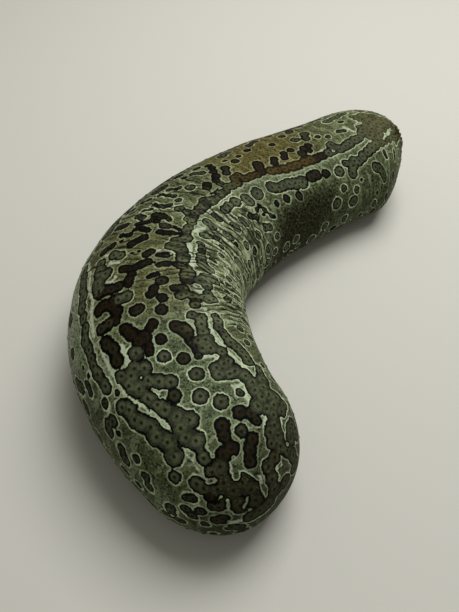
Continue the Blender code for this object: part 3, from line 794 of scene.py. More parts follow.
# Relief of the body wall: slow swelling, folds pressed together on the inner side of the
# bend, creases over the back, a low papilla in the middle of each spot, mouth and vent.
SWELLING = ((0.7, 36.0, 5), (0.35, 15.0, 6))
STRAYING = ((1.0, 11.0, 7), (0.4, 5.0, 8))
BREAK_CELL, BREAK_SEED = 8.0, 9
FURROW_WIDTH = 0.42
FOLD_PITCH, FOLD_DEPTH, FOLD_STRAY, FOLD_SLANT = 4.3, 0.62, 3.3, 0.02
CREASE_PITCH, CREASE_DEPTH, CREASE_STRAY, CREASE_SLANT = 4.4, 0.26, 3.0, 0.03
PAPILLA_HEIGHT, PAPILLA_RADIUS = 0.35, 0.75
MOUTH_ALONG, MOUTH_TILT, MOUTH_SUNK = 7.2, -46.0, 0.9
MOUTH_FLAT, MOUTH_RADIUS, MOUTH_DEPTH, MOUTH_REACH, MOUTH_SHADE_REACH = 2.6, 6.7, 6.0, 12.0, 11.0
LIP_RADIUS, LIP_WIDTH, LIP_HEIGHT = 7.8, 1.6, 1.3
VENT_ALONG, VENT_TILT, VENT_SUNK = BODY_LENGTH - 5.5, 36.0, 0.6
VENT_FLAT, VENT_RADIUS, VENT_DEPTH, VENT_REACH, VENT_STAIN = 0.6, 5.6, 7.5, 14.0, 12.0
RIM_RADIUS, RIM_WIDTH, RIM_HEIGHT = 7.0, 2.6, 0.9
PLEATS, PLEAT_RADIUS, PLEAT_WIDTH, PLEAT_HEIGHT = 13, 6.0, 4.5, 0.5


def facing(heading, tilt):
    """The unit vector along a level heading, tilted up by so many degrees."""
    lean = math.radians(tilt)
    return np.array((
        math.cos(heading) * math.cos(lean),
        math.sin(heading) * math.cos(lean),
        math.sin(lean),
    ))


def around_axis(points, centre, out):
    """Distance from an axis, angle round it and height along it."""
    first = np.cross(out, (0.0, 0.0, 1.0))
    first /= np.linalg.norm(first)
    second = np.cross(out, first)
    off = points - centre
    x, y = off @ first, off @ second
    return np.hypot(x, y), np.arctan2(y, x), off @ out


mouth_out = facing(spine_at(MOUTH_ALONG)[2] + math.pi, MOUTH_TILT)
mouth_middle = skin_point(MOUTH_ALONG, -np.pi / 2) - mouth_out * MOUTH_SUNK
vent_out = facing(spine_at(VENT_ALONG)[2], VENT_TILT)
vent_middle = skin_point(VENT_ALONG, np.pi / 2) - vent_out * VENT_SUNK

strayed = waves(STRAYING)
inner = between(-girth, 6.0, 34.0, 90.0, 112.0)
bent = between(arc, 84.0, 128.0, 226.0, 268.0)[:, None]
broken = 0.15 + 0.85 * ease(lattice_noise(smooth, BREAK_CELL, BREAK_SEED), -0.5, 0.35)


def furrows(pitch, stray, slant):
    """Narrow furrows across the body, from 0 on the crests to 1 in their middle."""
    wave = np.cos(math.pi * arc[:, None] / pitch + stray * strayed + slant * girth)
    return bell(wave, FURROW_WIDTH)


fold = furrows(FOLD_PITCH, FOLD_STRAY, FOLD_SLANT) * inner * bent * broken
over_back = between(arc, 112.0, 160.0, 225.0, 262.0)[:, None]
crease_share = between(girth, -44.0, -14.0, 40.0, 66.0) * over_back
crease = furrows(CREASE_PITCH, CREASE_STRAY, CREASE_SLANT) * crease_share * broken
off_floor = ease(smooth[..., 2], 2.0, 6.0)
rise = waves(SWELLING) - FOLD_DEPTH * fold - CREASE_DEPTH * crease
rise += PAPILLA_HEIGHT * bell(dot, PAPILLA_RADIUS)
skin = smooth + outward * (rise * off_floor)[..., None]

away, _, up = around_axis(smooth, mouth_middle, mouth_out)
near = up > -MOUTH_REACH
# partly the darker skin of the mouth, partly painted shade in its opening
mouth_skin_and_shade = bell(away, MOUTH_SHADE_REACH) * near
lip = LIP_HEIGHT * bell(away - LIP_RADIUS, LIP_WIDTH) * near
gape = MOUTH_DEPTH * (1 - ease(away, MOUTH_FLAT, MOUTH_RADIUS)) * near
skin += (lip - gape)[..., None] * mouth_out

away, round_vent, up = around_axis(smooth, vent_middle, vent_out)
near = up > -VENT_REACH
at_vent = bell(away, VENT_STAIN) * near
pleat = np.cos(PLEATS * round_vent + 0.8 * strayed)
rim = (RIM_HEIGHT + PLEAT_HEIGHT * pleat) * bell(away - RIM_RADIUS, RIM_WIDTH) * near
pit = VENT_DEPTH * (1 - ease(away, VENT_FLAT, VENT_RADIUS)) * near
skin += (rim - pit)[..., None] * vent_out
# painted shade between the pleats round the vent
pleat_shade = pleat * bell(away - PLEAT_RADIUS, PLEAT_WIDTH) * near


def mesh_from(name, points, faces):
    """A mesh object from points in millimetres and arrays of triangles and quads."""
    mesh = bpy.data.meshes.new(name)
    mesh.vertices.add(len(points))
    mesh.vertices.foreach_set("co", (points * MM).astype(np.float32).ravel())
    corners = np.concatenate([f.ravel() for f in faces])
    sizes = np.concatenate([np.full(len(f), f.shape[1]) for f in faces])
    mesh.loops.add(len(corners))
    mesh.loops.foreach_set("vertex_index", corners.astype(np.int32))
    mesh.polygons.add(len(sizes))
    starts = np.concatenate(([0], np.cumsum(sizes)[:-1]))
    mesh.polygons.foreach_set("loop_start", starts.astype(np.int32))
    mesh.polygons.foreach_set("loop_total", sizes.astype(np.int32))
    mesh.update(calc_edges=True)
    mesh.validate()
    mesh.shade_smooth()
    made = bpy.data.objects.new(name, mesh)
    bpy.context.scene.collection.objects.link(made)
    return made


def grid_faces(rings, points):
    """Quads between closed rings of points, one ring after the other."""
    i, k = np.meshgrid(np.arange(rings - 1), np.arange(points), indexing="ij")
    n = (k + 1) % points
    low, high = i * points, (i + 1) * points
    return np.stack((low + k, low + n, high + n, high + k), -1).reshape(-1, 4)


def fan_faces(first, points, pole, flip):
    """Triangles from one ring to a single point."""
    k = np.arange(points)
    n = (k + 1) % points
    pair = (first + n, first + k) if flip else (first + k, first + n)
    return np.stack((*pair, np.full(points, pole)), -1)


grid_points = rows * GIRTH_POINTS
front_tip = skin[0].mean(0)
rear_tip = skin[-1].mean(0)
points = np.concatenate((skin.reshape(-1, 3), front_tip[None], rear_tip[None]))
quads = grid_faces(rows, GIRTH_POINTS)
front = fan_faces(0, GIRTH_POINTS, grid_points, True)
rear = fan_faces(grid_points - GIRTH_POINTS, GIRTH_POINTS, grid_points + 1, False)

# Every face is turned outwards, as the one in the middle of the back is
middle = quads[len(quads) // 2 + GIRTH_POINTS // 2]
a, b, c = (points[v] for v in middle[:3])
if np.cross(b - a, c - b) @ outward.reshape(-1, 3)[middle[0]] < 0:
    quads, front, rear = (f[:, ::-1] for f in (quads, front, rear))
body_wall = mesh_from("body_wall", points, (quads, front, rear))

# The numbers that each point of the skin keeps for its material: shares from 0 to 1, apart
# from the distances in millimetres and the tone
YELLOWING = (
    # how much yellower the back grows, and where that starts and ends over the back
    (0.62, 100.0, 140.0),
    (-0.27, 180.0, 200.0),
    (0.65, 238.0, 268.0),
    (-0.65, 308.0, 342.0),
)
LINE_WIDTH = 1.9
STREAK_STRETCH, STREAK_CELL, STREAK_SEED = 5.0, 1.7, 12
AT_TIPS = {
    # what the front tip and the rear tip keep, where that isn't 0
    "edge_mm": (4.0, 4.0),
    "dot_mm": (NO_SPOT, NO_SPOT),
    "patch_mm": (NO_SPOT, NO_SPOT),
    "front_dome_shade": (1.0, 0.0),
    "rear_fade": (0.0, 1.0),
    "vent": (0.0, 1.0),
}

inner_side = girth - along_line(INNER_LINE, arc)[:, None]
outer_side = along_line(OUTER_LINE, arc)[:, None] - girth
on_lines = between(arc, 44.0, 62.0, 372.0, 392.0)[:, None]
line_gap = np.minimum(np.abs(inner_side), np.abs(outer_side))
back_field = ease(np.minimum(inner_side, outer_side), -2.0, 7.0) * on_lines
yellowed = sum(step * ease(arc, start, end) for step, start, end in YELLOWING)[:, None]
# Painted light: the outer flank's ground is lightened from about the middle of the body back; the near
# end is left darker as painted shadow
outer_light_by_arc = (0.08 + 0.92 * ease(arc, 100.0, 138.0))[:, None]
rear_dome = ease(arc, 345.0, 378.0)[:, None]
# Painted shade: the front dome is darkened where it faces away from the light
front_dome_shade = np.repeat(ease(-arc, -54.0, -30.0), GIRTH_POINTS)
leaning = arc[:, None] - 0.5 * (girth + 46.0) + 3.0 * strayed
# The dusk of the inner flank towards the rear, and low on it near the rear end: partly the skin's dark
# brown, partly painted shade on the lower inner flank
rear_dusk_and_shade = between(leaning, 226.0, 272.0, 296.0, 352.0) * ease(-girth, 24.0, 46.0)
end_dusk_and_shade = 0.5 * between(arc, 300.0, 330.0, 372.0, 398.0)[:, None] * ease(-girth, 42.0, 62.0)
level = np.zeros_like(girth)
across_folds = np.stack((arc[:, None] + 1.6 * strayed, girth / STREAK_STRETCH, level), -1)
skin_fields = {
    "edge_mm": edge,
    "dot_mm": dot,
    "patch_mm": patch,
    "tone": tone,
    "pale_line": bell(line_gap, LINE_WIDTH) * on_lines,
    "back_field": back_field,
    "mellow": yellowed * back_field,
    # painted shade in the fold and crease furrows
    "fold": fold + 0.8 * crease,
    # painted highlight on the fold crests
    "lit_crest": (1 - ease(fold, 0.0, 0.3)) * inner * bent,
    "hollow_side": inner * bent,
    "wrinkled_side": bent * (1 - ease(inner_side, 9.0, 17.0)),
    # the outer flank's paler ground, partly painted light
    "outer_side": outer_light_by_arc * between(girth, 38.0, 56.0, 78.0, 96.0),
    "sole": 1 - ease(smooth[..., 2], 1.8, 9.0),
    # painted shade of the front dome
    "front_dome_shade": front_dome_shade,
    "rear_fade": rear_dome * between(girth, -28.0, -20.0, 30.0, 46.0),
    # dark brown of the inner flank, partly painted shade
    "dusk_and_shade": np.maximum(rear_dusk_and_shade, end_dusk_and_shade),
    # fine wrinkles, drawn only as pale and dark streaks of painted light and shade
    "wrinkle_shading": lattice_noise(across_folds, STREAK_CELL, STREAK_SEED),
    "mouth": mouth_skin_and_shade,
    "vent": at_vent,
    "vent_pleat_shade": pleat_shade,
}
for name, values in skin_fields.items():
    kept = body_wall.data.attributes.new(name, "FLOAT", "POINT")
    values = np.append(values, AT_TIPS.get(name, (0.0, 0.0)))
    kept.data.foreach_set("value", values.astype(np.float32))

# The unwrap is the skin itself laid flat, cut along the middle of the sole
UNWRAP_SIZE = 430.0
unwrap = body_wall.data.uv_layers.new(name="OFBake")
flat_u = np.repeat(arc, GIRTH_POINTS) / UNWRAP_SIZE
flat_v = girth.ravel() / UNWRAP_SIZE + 0.5
corner = np.empty(len(body_wall.data.loops), np.int32)
body_wall.data.loops.foreach_get("vertex_index", corner)
u = np.append(flat_u, (0.0, ARC_TOTAL / UNWRAP_SIZE))[corner]
v = np.append(flat_v, (0.5, 0.5))[corner]
face_size = np.empty(len(body_wall.data.polygons), np.int32)
body_wall.data.polygons.foreach_get("loop_total", face_size)
face_of = np.repeat(np.arange(len(face_size)), face_size)
column = np.where(corner < grid_points, corner % GIRTH_POINTS, -1)
has_last = np.zeros(len(face_size), bool)
has_last[face_of[column == GIRTH_POINTS - 1]] = True
wraps = (column == 0) & has_last[face_of]
v[wraps] = 1.0 - v[wraps]
unwrap.data.foreach_set("uv", np.stack((u, v), -1).astype(np.float32).ravel())


def hex_colour(code):
    """An sRGB hex value as a linear colour."""
    parts = [int(code[i:i + 2], 16) / 255 for i in (0, 2, 4)]
    return (*(p / 12.92 if p <= 0.04045 else ((p + 0.055) / 1.055) ** 2.4 for p in parts), 1.0)


def add_node(tree, kind, inputs=None, stops=None, **settings):
    """Adds a node with its settings, its socket values and links, and its ramp's stops."""
    made = tree.nodes.new(kind)
    for name, value in settings.items():
        setattr(made, name, value)
    for socket, value in (inputs or {}).items():
        if isinstance(value, bpy.types.NodeSocket):
            tree.links.new(value, made.inputs[socket])
        else:
            made.inputs[socket].default_value = value
    for i, (at, shade) in enumerate(stops or ()):
        ramp = made.color_ramp.elements
        stop = ramp[i] if i < 2 else ramp.new(at)
        stop.position = at
        stop.color = shade
    return made


def start_material(name, patterns, fields=()):
    """An empty material, with the outputs of its noise patterns and of the numbers that the
    points keep. A pattern is its size in millimetres, its detail and its roughness."""
    made = bpy.data.materials.new(name)
    made.use_nodes = True
    graph = made.node_tree
    graph.nodes.clear()
    outputs = {"place": add_node(graph, "ShaderNodeTexCoord").outputs["Object"]}
    for pattern, (size, detail, roughness) in patterns.items():
        outputs[pattern] = add_node(graph, "ShaderNodeTexNoise", {
            "Vector": outputs["place"], "Scale": 1.0 / (size * MM),
            "Detail": detail, "Roughness": roughness,
        }).outputs["Fac"]
    for field in fields:
        outputs[field] = add_node(graph, "ShaderNodeAttribute", attribute_name=field).outputs["Fac"]
    return made, outputs


def formula(*terms):
    """A number that the material in hand works out: terms added up, each a number, an output
    or a tuple of factors. A factor of three is the smooth share of an output, from 0 at the
    first number to 1 at the second."""
    summed = None
    for term in terms:
        value = None
        for factor in term if isinstance(term, tuple) else (term,):
            if isinstance(factor, tuple):
                factor = add_node(tree, "ShaderNodeMapRange", {
                    "Value": factor[0], "From Min": factor[1], "From Max": factor[2],
                }, interpolation_type="SMOOTHSTEP").outputs["Result"]
            if value is not None:
                factor = add_node(tree, "ShaderNodeMath", {0: value, 1: factor},
                                  operation="MULTIPLY").outputs[0]
            value = factor
        if summed is not None:
            value = add_node(tree, "ShaderNodeMath", {0: summed, 1: value}).outputs[0]
        summed = value
    return summed


def paint(colour, layers):
    """A colour with others laid over it. A layer is its colour, then the factors of its
    strength, as in a formula."""
    for over, *strength in layers:
        colour = add_node(tree, "ShaderNodeMix", {
            0: formula(tuple(strength)), 6: colour, 7: over,
        }, data_type="RGBA").outputs[2]
    return colour


def add_surface(relief, strength, depth, **sockets):
    """Ends a material with a bump of so many millimetres, its shader and its output."""
    bump = add_node(tree, "ShaderNodeBump", {
        "Height": relief, "Strength": strength, "Distance": depth * MM,
    })
    sockets = {name.replace("_", " "): value for name, value in sockets.items()}
    shader = add_node(tree, "ShaderNodeBsdfPrincipled", {**sockets, "Normal": bump.outputs["Normal"]})
    add_node(tree, "ShaderNodeOutputMaterial", {"Surface": shader.outputs["BSDF"]})


# Wet leathery skin: matt to satin, its colour in sharp islands with near-black rims and
# pale rings, and a fine granular grain about 0.5 mm across from the ossicles under it
OLIVE_SPOT = hex_colour("343529")
OLIVE_GLOW = hex_colour("525940")
BROWN_SPOT = hex_colour("0e0a04")
BROWN_GLOW = hex_colour("20180a")
ORANGE_SPOT = hex_colour("28200b")
ORANGE_GLOW = hex_colour("54451c")
REAR_FILL = hex_colour("58563a")
SPOT_RIM = hex_colour("020201")
SPOT_DOT = hex_colour("160c05")
BACK_GROUND = hex_colour("4f5a40")
BACK_MELLOW = hex_colour("59522a")
FLANK_GROUND = hex_colour("4d5436")
# dark brown of the inner flank, darkened further as painted shade
DUSK_AND_SHADE_GROUND = hex_colour("25230f")
PALE_GROUND = hex_colour("717a50")
PALE_RING = hex_colour("bac9a2")
# pale ground of the outer flank, made paler as painted light
OUTER_PALE_AND_LIGHT = hex_colour("b6bfa4")
# painted highlight on the crests between the folds
CREST_PAINTED_LIGHT = hex_colour("b4b890")
SOLE_GROUND = hex_colour("5a5a3c")
# near-black: painted shade in the fold furrows, the wrinkle streaks and between the vent's pleats, and
# the skin's own dark specks, grain and granule edges
SHADE_AND_SPECK_DARK = hex_colour("080904")
VENT_SKIN = hex_colour("40371c")
# darker skin of the mouth with painted shade in its opening
MOUTH_SKIN_AND_SHADE = hex_colour("322a1b")
# painted shade of the front dome
FRONT_PAINTED_SHADE = hex_colour("1f1b0e")
MELLOW_PALE = hex_colour("a79c63")
WHITE_PATCH = hex_colour("c3ccb2")
SKIN_PATTERNS = {
    # millimetres across, detail, roughness
    "mottle": (5.0, 3.0, 0.6),  # slow changes of shade and gloss
    "specks": (1.5, 2.0, 0.6),  # dark warts of the skin
    "grain": (0.55, 3.0, 0.6),  # ossicles, finer than this and drawn as coarse as they show
    "flecks": (1.0, 2.0, 0.6),  # pale flecks
    "blotches": (3.2, 3.0, 0.6),  # darker places in the islands
    "clouds": (12.0, 5.0, 0.7),  # the broken edge of the dusky flank
    "ragged_edge": (1.7, 3.0, 0.5),  # the islands' ragged edges
    "uneven_ring": (7.0, 2.0, 0.5),  # rings that fade and come back
    "worn_rim": (4.0, 2.0, 0.5),  # rims worn thin where the skin is pressed together
    # breaks up the painted highlight on the fold crests
    "patchy_crest_light": (3.0, 2.0, 0.5),  # pale crests between the folds
}
GRANULE_SIZE = 2.1

skin_material, on_skin = start_material("wet_leathery_skin", SKIN_PATTERNS, skin_fields)
tree = skin_material.node_tree
granule_edge = add_node(tree, "ShaderNodeTexVoronoi", {
    "Vector": on_skin["place"], "Scale": 1.0 / (GRANULE_SIZE * MM),
}, feature="DISTANCE_TO_EDGE").outputs["Distance"]
mottle, specks, wrinkle_shading = on_skin["mottle"], on_skin["specks"], on_skin["wrinkle_shading"]
tone, dot_mm, mellow = on_skin["tone"], on_skin["dot_mm"], on_skin["mellow"]
dusk_and_shade, hollow_side, front_dome_shade = on_skin["dusk_and_shade"], on_skin["hollow_side"], on_skin["front_dome_shade"]
wrinkled_side = on_skin["wrinkled_side"]
ragged = formula((on_skin["ragged_edge"], 1.9), -0.95)
depth = formula(on_skin["edge_mm"], ragged)
patch_depth = formula(on_skin["patch_mm"], (ragged, 1.5))

# The ground between the islands: its plain colours, lightened on the outer flank as painted light,
# with painted highlights on the fold crests, its dusk, partly dark brown and partly painted shade,
# and its pepper of dark papillae, its flecks, wrinkle streaks painted as light and shade, painted
# shade on the front dome, specks and granules, then white patches and a ring round each island
near_edge = formula(((mottle, 0.42, 0.66), 0.30), ((depth, 2.8, 0.9), 0.45))
clouded = formula(dusk_and_shade, (on_skin["clouds"], 2.2), -1.1)
pale = paint(PALE_RING, [(MELLOW_PALE, mellow)])
flecked = formula(((on_skin["flecks"], 0.54, 0.68), formula(1.0, (dusk_and_shade, -0.55))))
# where the wrinkle streaks' painted light and shade show on the ground: more on the hollow side, not in
# the dusk
wrinkle_shade_share = formula((formula(0.22, (hollow_side, 0.50)), formula(1.0, (dusk_and_shade, -1.0))))
uneven = formula(0.45, ((on_skin["uneven_ring"], 0.40, 0.62), 0.55))
brown_fading = formula(-0.45, ((mellow, 0.75, 0.95), 0.30))
# Rings are fainter on brown islands, on the yellower back and on the hollow side, and dimmed on the
# front dome as part of its painted shade
ring_strength = formula(1.0, ((tone, 0.4, 0.9), brown_fading), (mellow, -0.25),
                        (hollow_side, -0.05), (front_dome_shade, -0.30))
ground = paint(FLANK_GROUND, [
    (BACK_GROUND, on_skin["back_field"]),
    (BACK_MELLOW, mellow),
    # the outer flank's paler ground, partly painted light
    (OUTER_PALE_AND_LIGHT, on_skin["outer_side"], 0.9),
    (PALE_GROUND, near_edge, formula(1.0, (mellow, -0.65))),
    (PALE_RING, on_skin["pale_line"], 0.22),
    # painted highlight on the crests between the folds
    (CREST_PAINTED_LIGHT, on_skin["lit_crest"], (on_skin["patchy_crest_light"], 0.35, 0.60), 0.72),
    # the inner flank's dusk: partly its own dark brown, partly painted shade
    (DUSK_AND_SHADE_GROUND, (clouded, 0.12, 0.80), dusk_and_shade, 0.90),
    (SPOT_RIM, (dot_mm, 1.45, 0.70), dusk_and_shade, 0.95),
    (pale, flecked, 0.30),
    # wrinkle streaks: painted light on their ridges and painted shade in their grooves
    (pale, (wrinkle_shading, 0.15, 0.55), wrinkle_shade_share),
    (SHADE_AND_SPECK_DARK, (wrinkle_shading, -0.15, -0.55), wrinkle_shade_share),
    # painted shade of the front dome
    (FRONT_PAINTED_SHADE, front_dome_shade, 0.60),
    (SHADE_AND_SPECK_DARK, (specks, 0.50, 0.64), 0.78),
    (SHADE_AND_SPECK_DARK, (on_skin["grain"], 0.50, 0.66), 0.35),
    (SHADE_AND_SPECK_DARK, (granule_edge, 0.12, 0.02), 0.28),
    (WHITE_PATCH, (patch_depth, 0.35, -0.65), 0.62),
    (paint(PALE_RING, [(MELLOW_PALE, mellow, 0.5)]), (depth, 1.30, 0.55), uneven, ring_strength),
])

# The fill of the islands: grey-olive, brown or orange-brown by their tone, glowing round
# each bead's dot, greyer on the rear dome and, partly as painted light, on the outer flank, then
# blotches, painted shade on the front dome, flecks, wrinkle streaks painted as light and shade
# and specks, with the dots on top
half_tone = formula((tone, 0.5))
shaded, glowing = (
    add_node(tree, "ShaderNodeValToRGB", {"Fac": half_tone}, stops=(
        (0.0, olive), (1.0, orange), (0.5, brown),
    )).outputs["Color"]
    for olive, brown, orange in (
        (OLIVE_SPOT, BROWN_SPOT, ORANGE_SPOT), (OLIVE_GLOW, BROWN_GLOW, ORANGE_GLOW),
    )
)
round_dots = ((dot_mm, 3.6, 1.4), (depth, -0.6, -1.8))
fill = paint(shaded, [
    (glowing, formula(round_dots, ((mottle, 0.4, 0.7), 0.25))),
    (REAR_FILL, on_skin["rear_fade"], 0.85),
    # fills lightened on the outer flank with its ground, partly painted light
    (REAR_FILL, on_skin["outer_side"], 0.60),
    (SPOT_RIM, (on_skin["blotches"], 0.50, 0.66), 0.42),
    (ground, hollow_side, 0.15),
    # painted shade of the front dome over the fills
    (FRONT_PAINTED_SHADE, front_dome_shade, 0.50),
    (PALE_GROUND, flecked, formula(0.24, ((half_tone, 0.20, 0.45), -0.20))),
    # the same painted light and shade of the wrinkle streaks over the fills
    (PALE_GROUND, (wrinkle_shading, 0.15, 0.50), wrinkled_side, 0.42),
    (SPOT_RIM, (wrinkle_shading, -0.1, -0.5), formula(0.25, (wrinkled_side, 0.30))),
    (SPOT_RIM, (specks, 0.54, 0.68), 0.55),
    (SPOT_DOT, (dot_mm, 1.30, 0.45), 0.90),
])

# Both together, with the near-black rims, which are widest on olive islands, painted shade
# in the folds and between the vent's pleats, the sole's and the vent's own colours, and at the
# mouth its darker skin with painted shade in its opening
rim_end = formula(depth, -0.30, ((tone, 0.4, 0.9), 0.30))
rim_strength = formula(0.97, (on_skin["rear_fade"], -0.35), ((tone, 1.2, 1.8), -0.35),
                       (hollow_side, (on_skin["worn_rim"], 0.52, 0.38), -0.25))
skin_colour = paint(ground, [
    (fill, (depth, 0.10, -0.10)),
    (SPOT_RIM, (rim_end, -1.15, -0.70), (depth, 0.48, 0.18), rim_strength),
    # painted shade in the fold and crease furrows
    (SHADE_AND_SPECK_DARK, (on_skin["fold"], 0.12, 0.62), 0.88),
    (SOLE_GROUND, on_skin["sole"], 0.55),
    (VENT_SKIN, (on_skin["vent"], 0.25, 0.85), 0.70),
    # painted shade between the vent's pleats
    (SHADE_AND_SPECK_DARK, (on_skin["vent_pleat_shade"], -0.1, -0.8), 0.75),
    # partly the darker skin of the mouth, partly painted shade in its opening
    (MOUTH_SKIN_AND_SHADE, (on_skin["mouth"], 0.3, 0.9), 0.8),
])

# Matt to satin, with a bump from its grain and specks, and from the islands' raised edges
relief = formula((on_skin["grain"], 0.5), (specks, 0.7), ((depth, 0.8, -0.8), 0.35))
add_surface(relief, strength=0.55, depth=0.35, Base_Color=skin_colour,
            Roughness=formula(0.50, (mottle, 0.20)), IOR=1.40, Specular_IOR_Level=0.06)
body_wall.data.materials.append(skin_material)
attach(body_wall, "root")
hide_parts("anterior_end", "fore_body", "mid_body_front", "mid_body_rear",
            "hind_body", "posterior_end")

# Tube feet
# Short hollow stalks of soft flesh that end in a sucker, in crowded rows over the sole and
# along its margin. They grow out of the body wall and stand on the floor.
FOOT_SPACING = 4.6
FOOT_ROWS = 17
FOOT_REACH = 0.62
FOOT_SIDES = 8
FOOT_PROFILE = (
    # height over the floor in the shortest feet, radius
    (0.0, 0.80),
    (0.30, 0.88),
    (0.55, 0.52),
    (1.30, 0.55),
    (2.30, 0.72),
)
FOOT_SUCKER_TOP = 1.0
FOOT_HEIGHT = 2.3
FOOT_ROOTED = 0.8
FOOT_TALLEST = 3.7
FOOT_END_GAP = 17.0
FOOT_STRAY_ALONG, FOOT_STRAY_ACROSS, FOOT_LEAN = 0.8, 0.9, 0.5
FOOT_THINNEST, FOOT_THICKEST = 0.75, 1.15
FOOT_SEED = 31

draw = random.Random(FOOT_SEED)
foot_rings = []
for row in range(FOOT_ROWS):
    row_share = FOOT_REACH * (2 * row / (FOOT_ROWS - 1) - 1)
    start = FOOT_END_GAP + (FOOT_SPACING / 2 if row % 2 else 0.0)
    for i in range(int((BODY_LENGTH - 2 * FOOT_END_GAP) / FOOT_SPACING)):
        foot_along = start + FOOT_SPACING * i + draw.uniform(-FOOT_STRAY_ALONG, FOOT_STRAY_ALONG)
        x, y, heading = spine_at(foot_along)
        edge_point = skin_point(foot_along, np.array((0.0, np.pi)))
        half_width = float(np.linalg.norm(edge_point[0] - edge_point[1])) / 2
        across = row_share * half_width + draw.uniform(-FOOT_STRAY_ACROSS, FOOT_STRAY_ACROSS)
        size = draw.uniform(FOOT_THINNEST, FOOT_THICKEST)
        side = min(1.0, abs(across) / half_width) ** (1 / SIDE_POWER)
        under = skin_point(foot_along, math.copysign(math.acos(side), -1.0))[2]
        tall = max(FOOT_HEIGHT, float(under) + FOOT_ROOTED)
        if tall > FOOT_TALLEST:
            continue
        middle = np.array((x - math.sin(heading) * across, y + math.cos(heading) * across))
        lean = np.array([draw.uniform(-FOOT_LEAN, FOOT_LEAN) for _ in range(2)])
        turns = np.arange(FOOT_SIDES) * math.tau / FOOT_SIDES + draw.uniform(0.0, 1.0)
        for height, radius in FOOT_PROFILE:
            height *= tall / FOOT_HEIGHT if height > FOOT_SUCKER_TOP else 1.0
            at = middle + lean * (1 - height / tall)
            ring_x = at[0] + radius * size * np.cos(turns)
            ring_y = at[1] + radius * size * np.sin(turns)
            foot_rings.append(np.stack((ring_x, ring_y, np.full(FOOT_SIDES, height)), -1))
foot_points = np.concatenate(foot_rings)
per_foot = len(FOOT_PROFILE) * FOOT_SIDES
feet = len(foot_points) // per_foot
one_wall = grid_faces(len(FOOT_PROFILE), FOOT_SIDES)
first_point = (np.arange(feet) * per_foot)[:, None]
walls = (one_wall[None] + first_point[:, None]).reshape(-1, 4)
soles = first_point + np.arange(FOOT_SIDES)[::-1]
tops = first_point + per_foot - FOOT_SIDES + np.arange(FOOT_SIDES)
tube_feet = mesh_from("tube_feet", foot_points, (walls, soles, tops))

# Soft translucent flesh, shown as pale grey-brown with a darker sucker
FOOT_FLESH = hex_colour("7c745c")
FOOT_SUCKER = hex_colour("3e3426")
FOOT_PATTERNS = {"blotches": (3.0, 2.0, 0.5), "pores": (0.4, 2.0, 0.5)}
foot_material, on_feet = start_material("tube_foot_flesh", FOOT_PATTERNS)
tree = foot_material.node_tree
over_floor = add_node(tree, "ShaderNodeSeparateXYZ", {"Vector": on_feet["place"]}).outputs["Z"]
foot_colour = paint(FOOT_FLESH, [
    (FOOT_SUCKER, on_feet["blotches"], 0.5),
    (FOOT_SUCKER, (over_floor, 0.6 * MM, 0.2 * MM)),
])
add_surface(on_feet["pores"], strength=0.4, depth=0.1, Base_Color=foot_colour,
            Roughness=0.42, IOR=1.38)
tube_feet.data.materials.append(foot_material)
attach(tube_feet, "root")

# Oral tentacles
# A crown of twenty short tentacles on the disc about the mouth, drawn in at rest. Each is a
# soft stalk that ends in a round shield with a lobed edge, for picking up sediment.
TENTACLE_RINGS = (
    # count, distance from the mouth's axis, length above the disc, lean outwards
    (7, 2.1, 3.6, 0.05),
    (13, 4.5, 3.0, 0.16),
)
SHIELD_LOBES = 7
SHIELD_SIDES = 4 * SHIELD_LOBES
TENTACLE_PROFILE = (
    # height above its root, plus a share of its length, radius, depth of the lobes
    (0.6, 0.0, 0.62, 0.0),
    (0.0, 0.40, 0.50, 0.0),
    (0.0, 0.85, 0.46, 0.0),
    (0.0, 0.95, 0.92, 0.10),
    (0.0, 1.02, 1.15, 0.18),
    (0.0, 1.10, 1.173, 0.18),
    (0.0, 1.20, 0.828, 0.12),
    (0.0, 1.24, 0.345, 0.0),
)
DISC_RADIUS = 5.8
DISC_SIDES = 48
DISC_PROFILE = (
    # height, share of the disc's radius
    (0.0, 1.0),
    (0.9, 1.0),
    (1.2, 0.93),
    (0.8, 0.3),
    (0.3, 0.1),
)
ROOT_HEIGHT = 0.5
CROWN_LIFT = 0.3
TENTACLE_SIZES = (0.9, 1.1)
TENTACLE_STRAY = 0.06
TENTACLE_SEED = 5

crown_points = []
crown_faces = []
turn_to = Vector(mouth_out).to_track_quat("Z", "Y").to_matrix()
crown_base = mouth_middle - mouth_out * (MOUTH_DEPTH - CROWN_LIFT)


def add_rings(rings):
    """Adds a tube through rings of points, closed at both ends, in the crown's own frame."""
    first = sum(len(p) for p in crown_points)
    sides = len(rings[0])
    poles = first + len(rings) * sides
    crown_points.extend([*rings, rings[0].mean(0)[None], rings[-1].mean(0)[None]])
    crown_faces.append(grid_faces(len(rings), sides) + first)
    crown_faces.append(fan_faces(first, sides, poles, True))
    crown_faces.append(fan_faces(poles - sides, sides, poles + 1, False))


def round_ring(x, y, z, radius, sides, lobes=0.0, phase=0.0):
    """A level ring of points about a place, with its edge waved into the shield's lobes."""
    turns = np.arange(sides) * math.tau / sides
    reach = radius * (1 + lobes * np.cos(SHIELD_LOBES * turns + phase))
    return np.stack((x + reach * np.cos(turns), y + reach * np.sin(turns), np.full(sides, z)), -1)


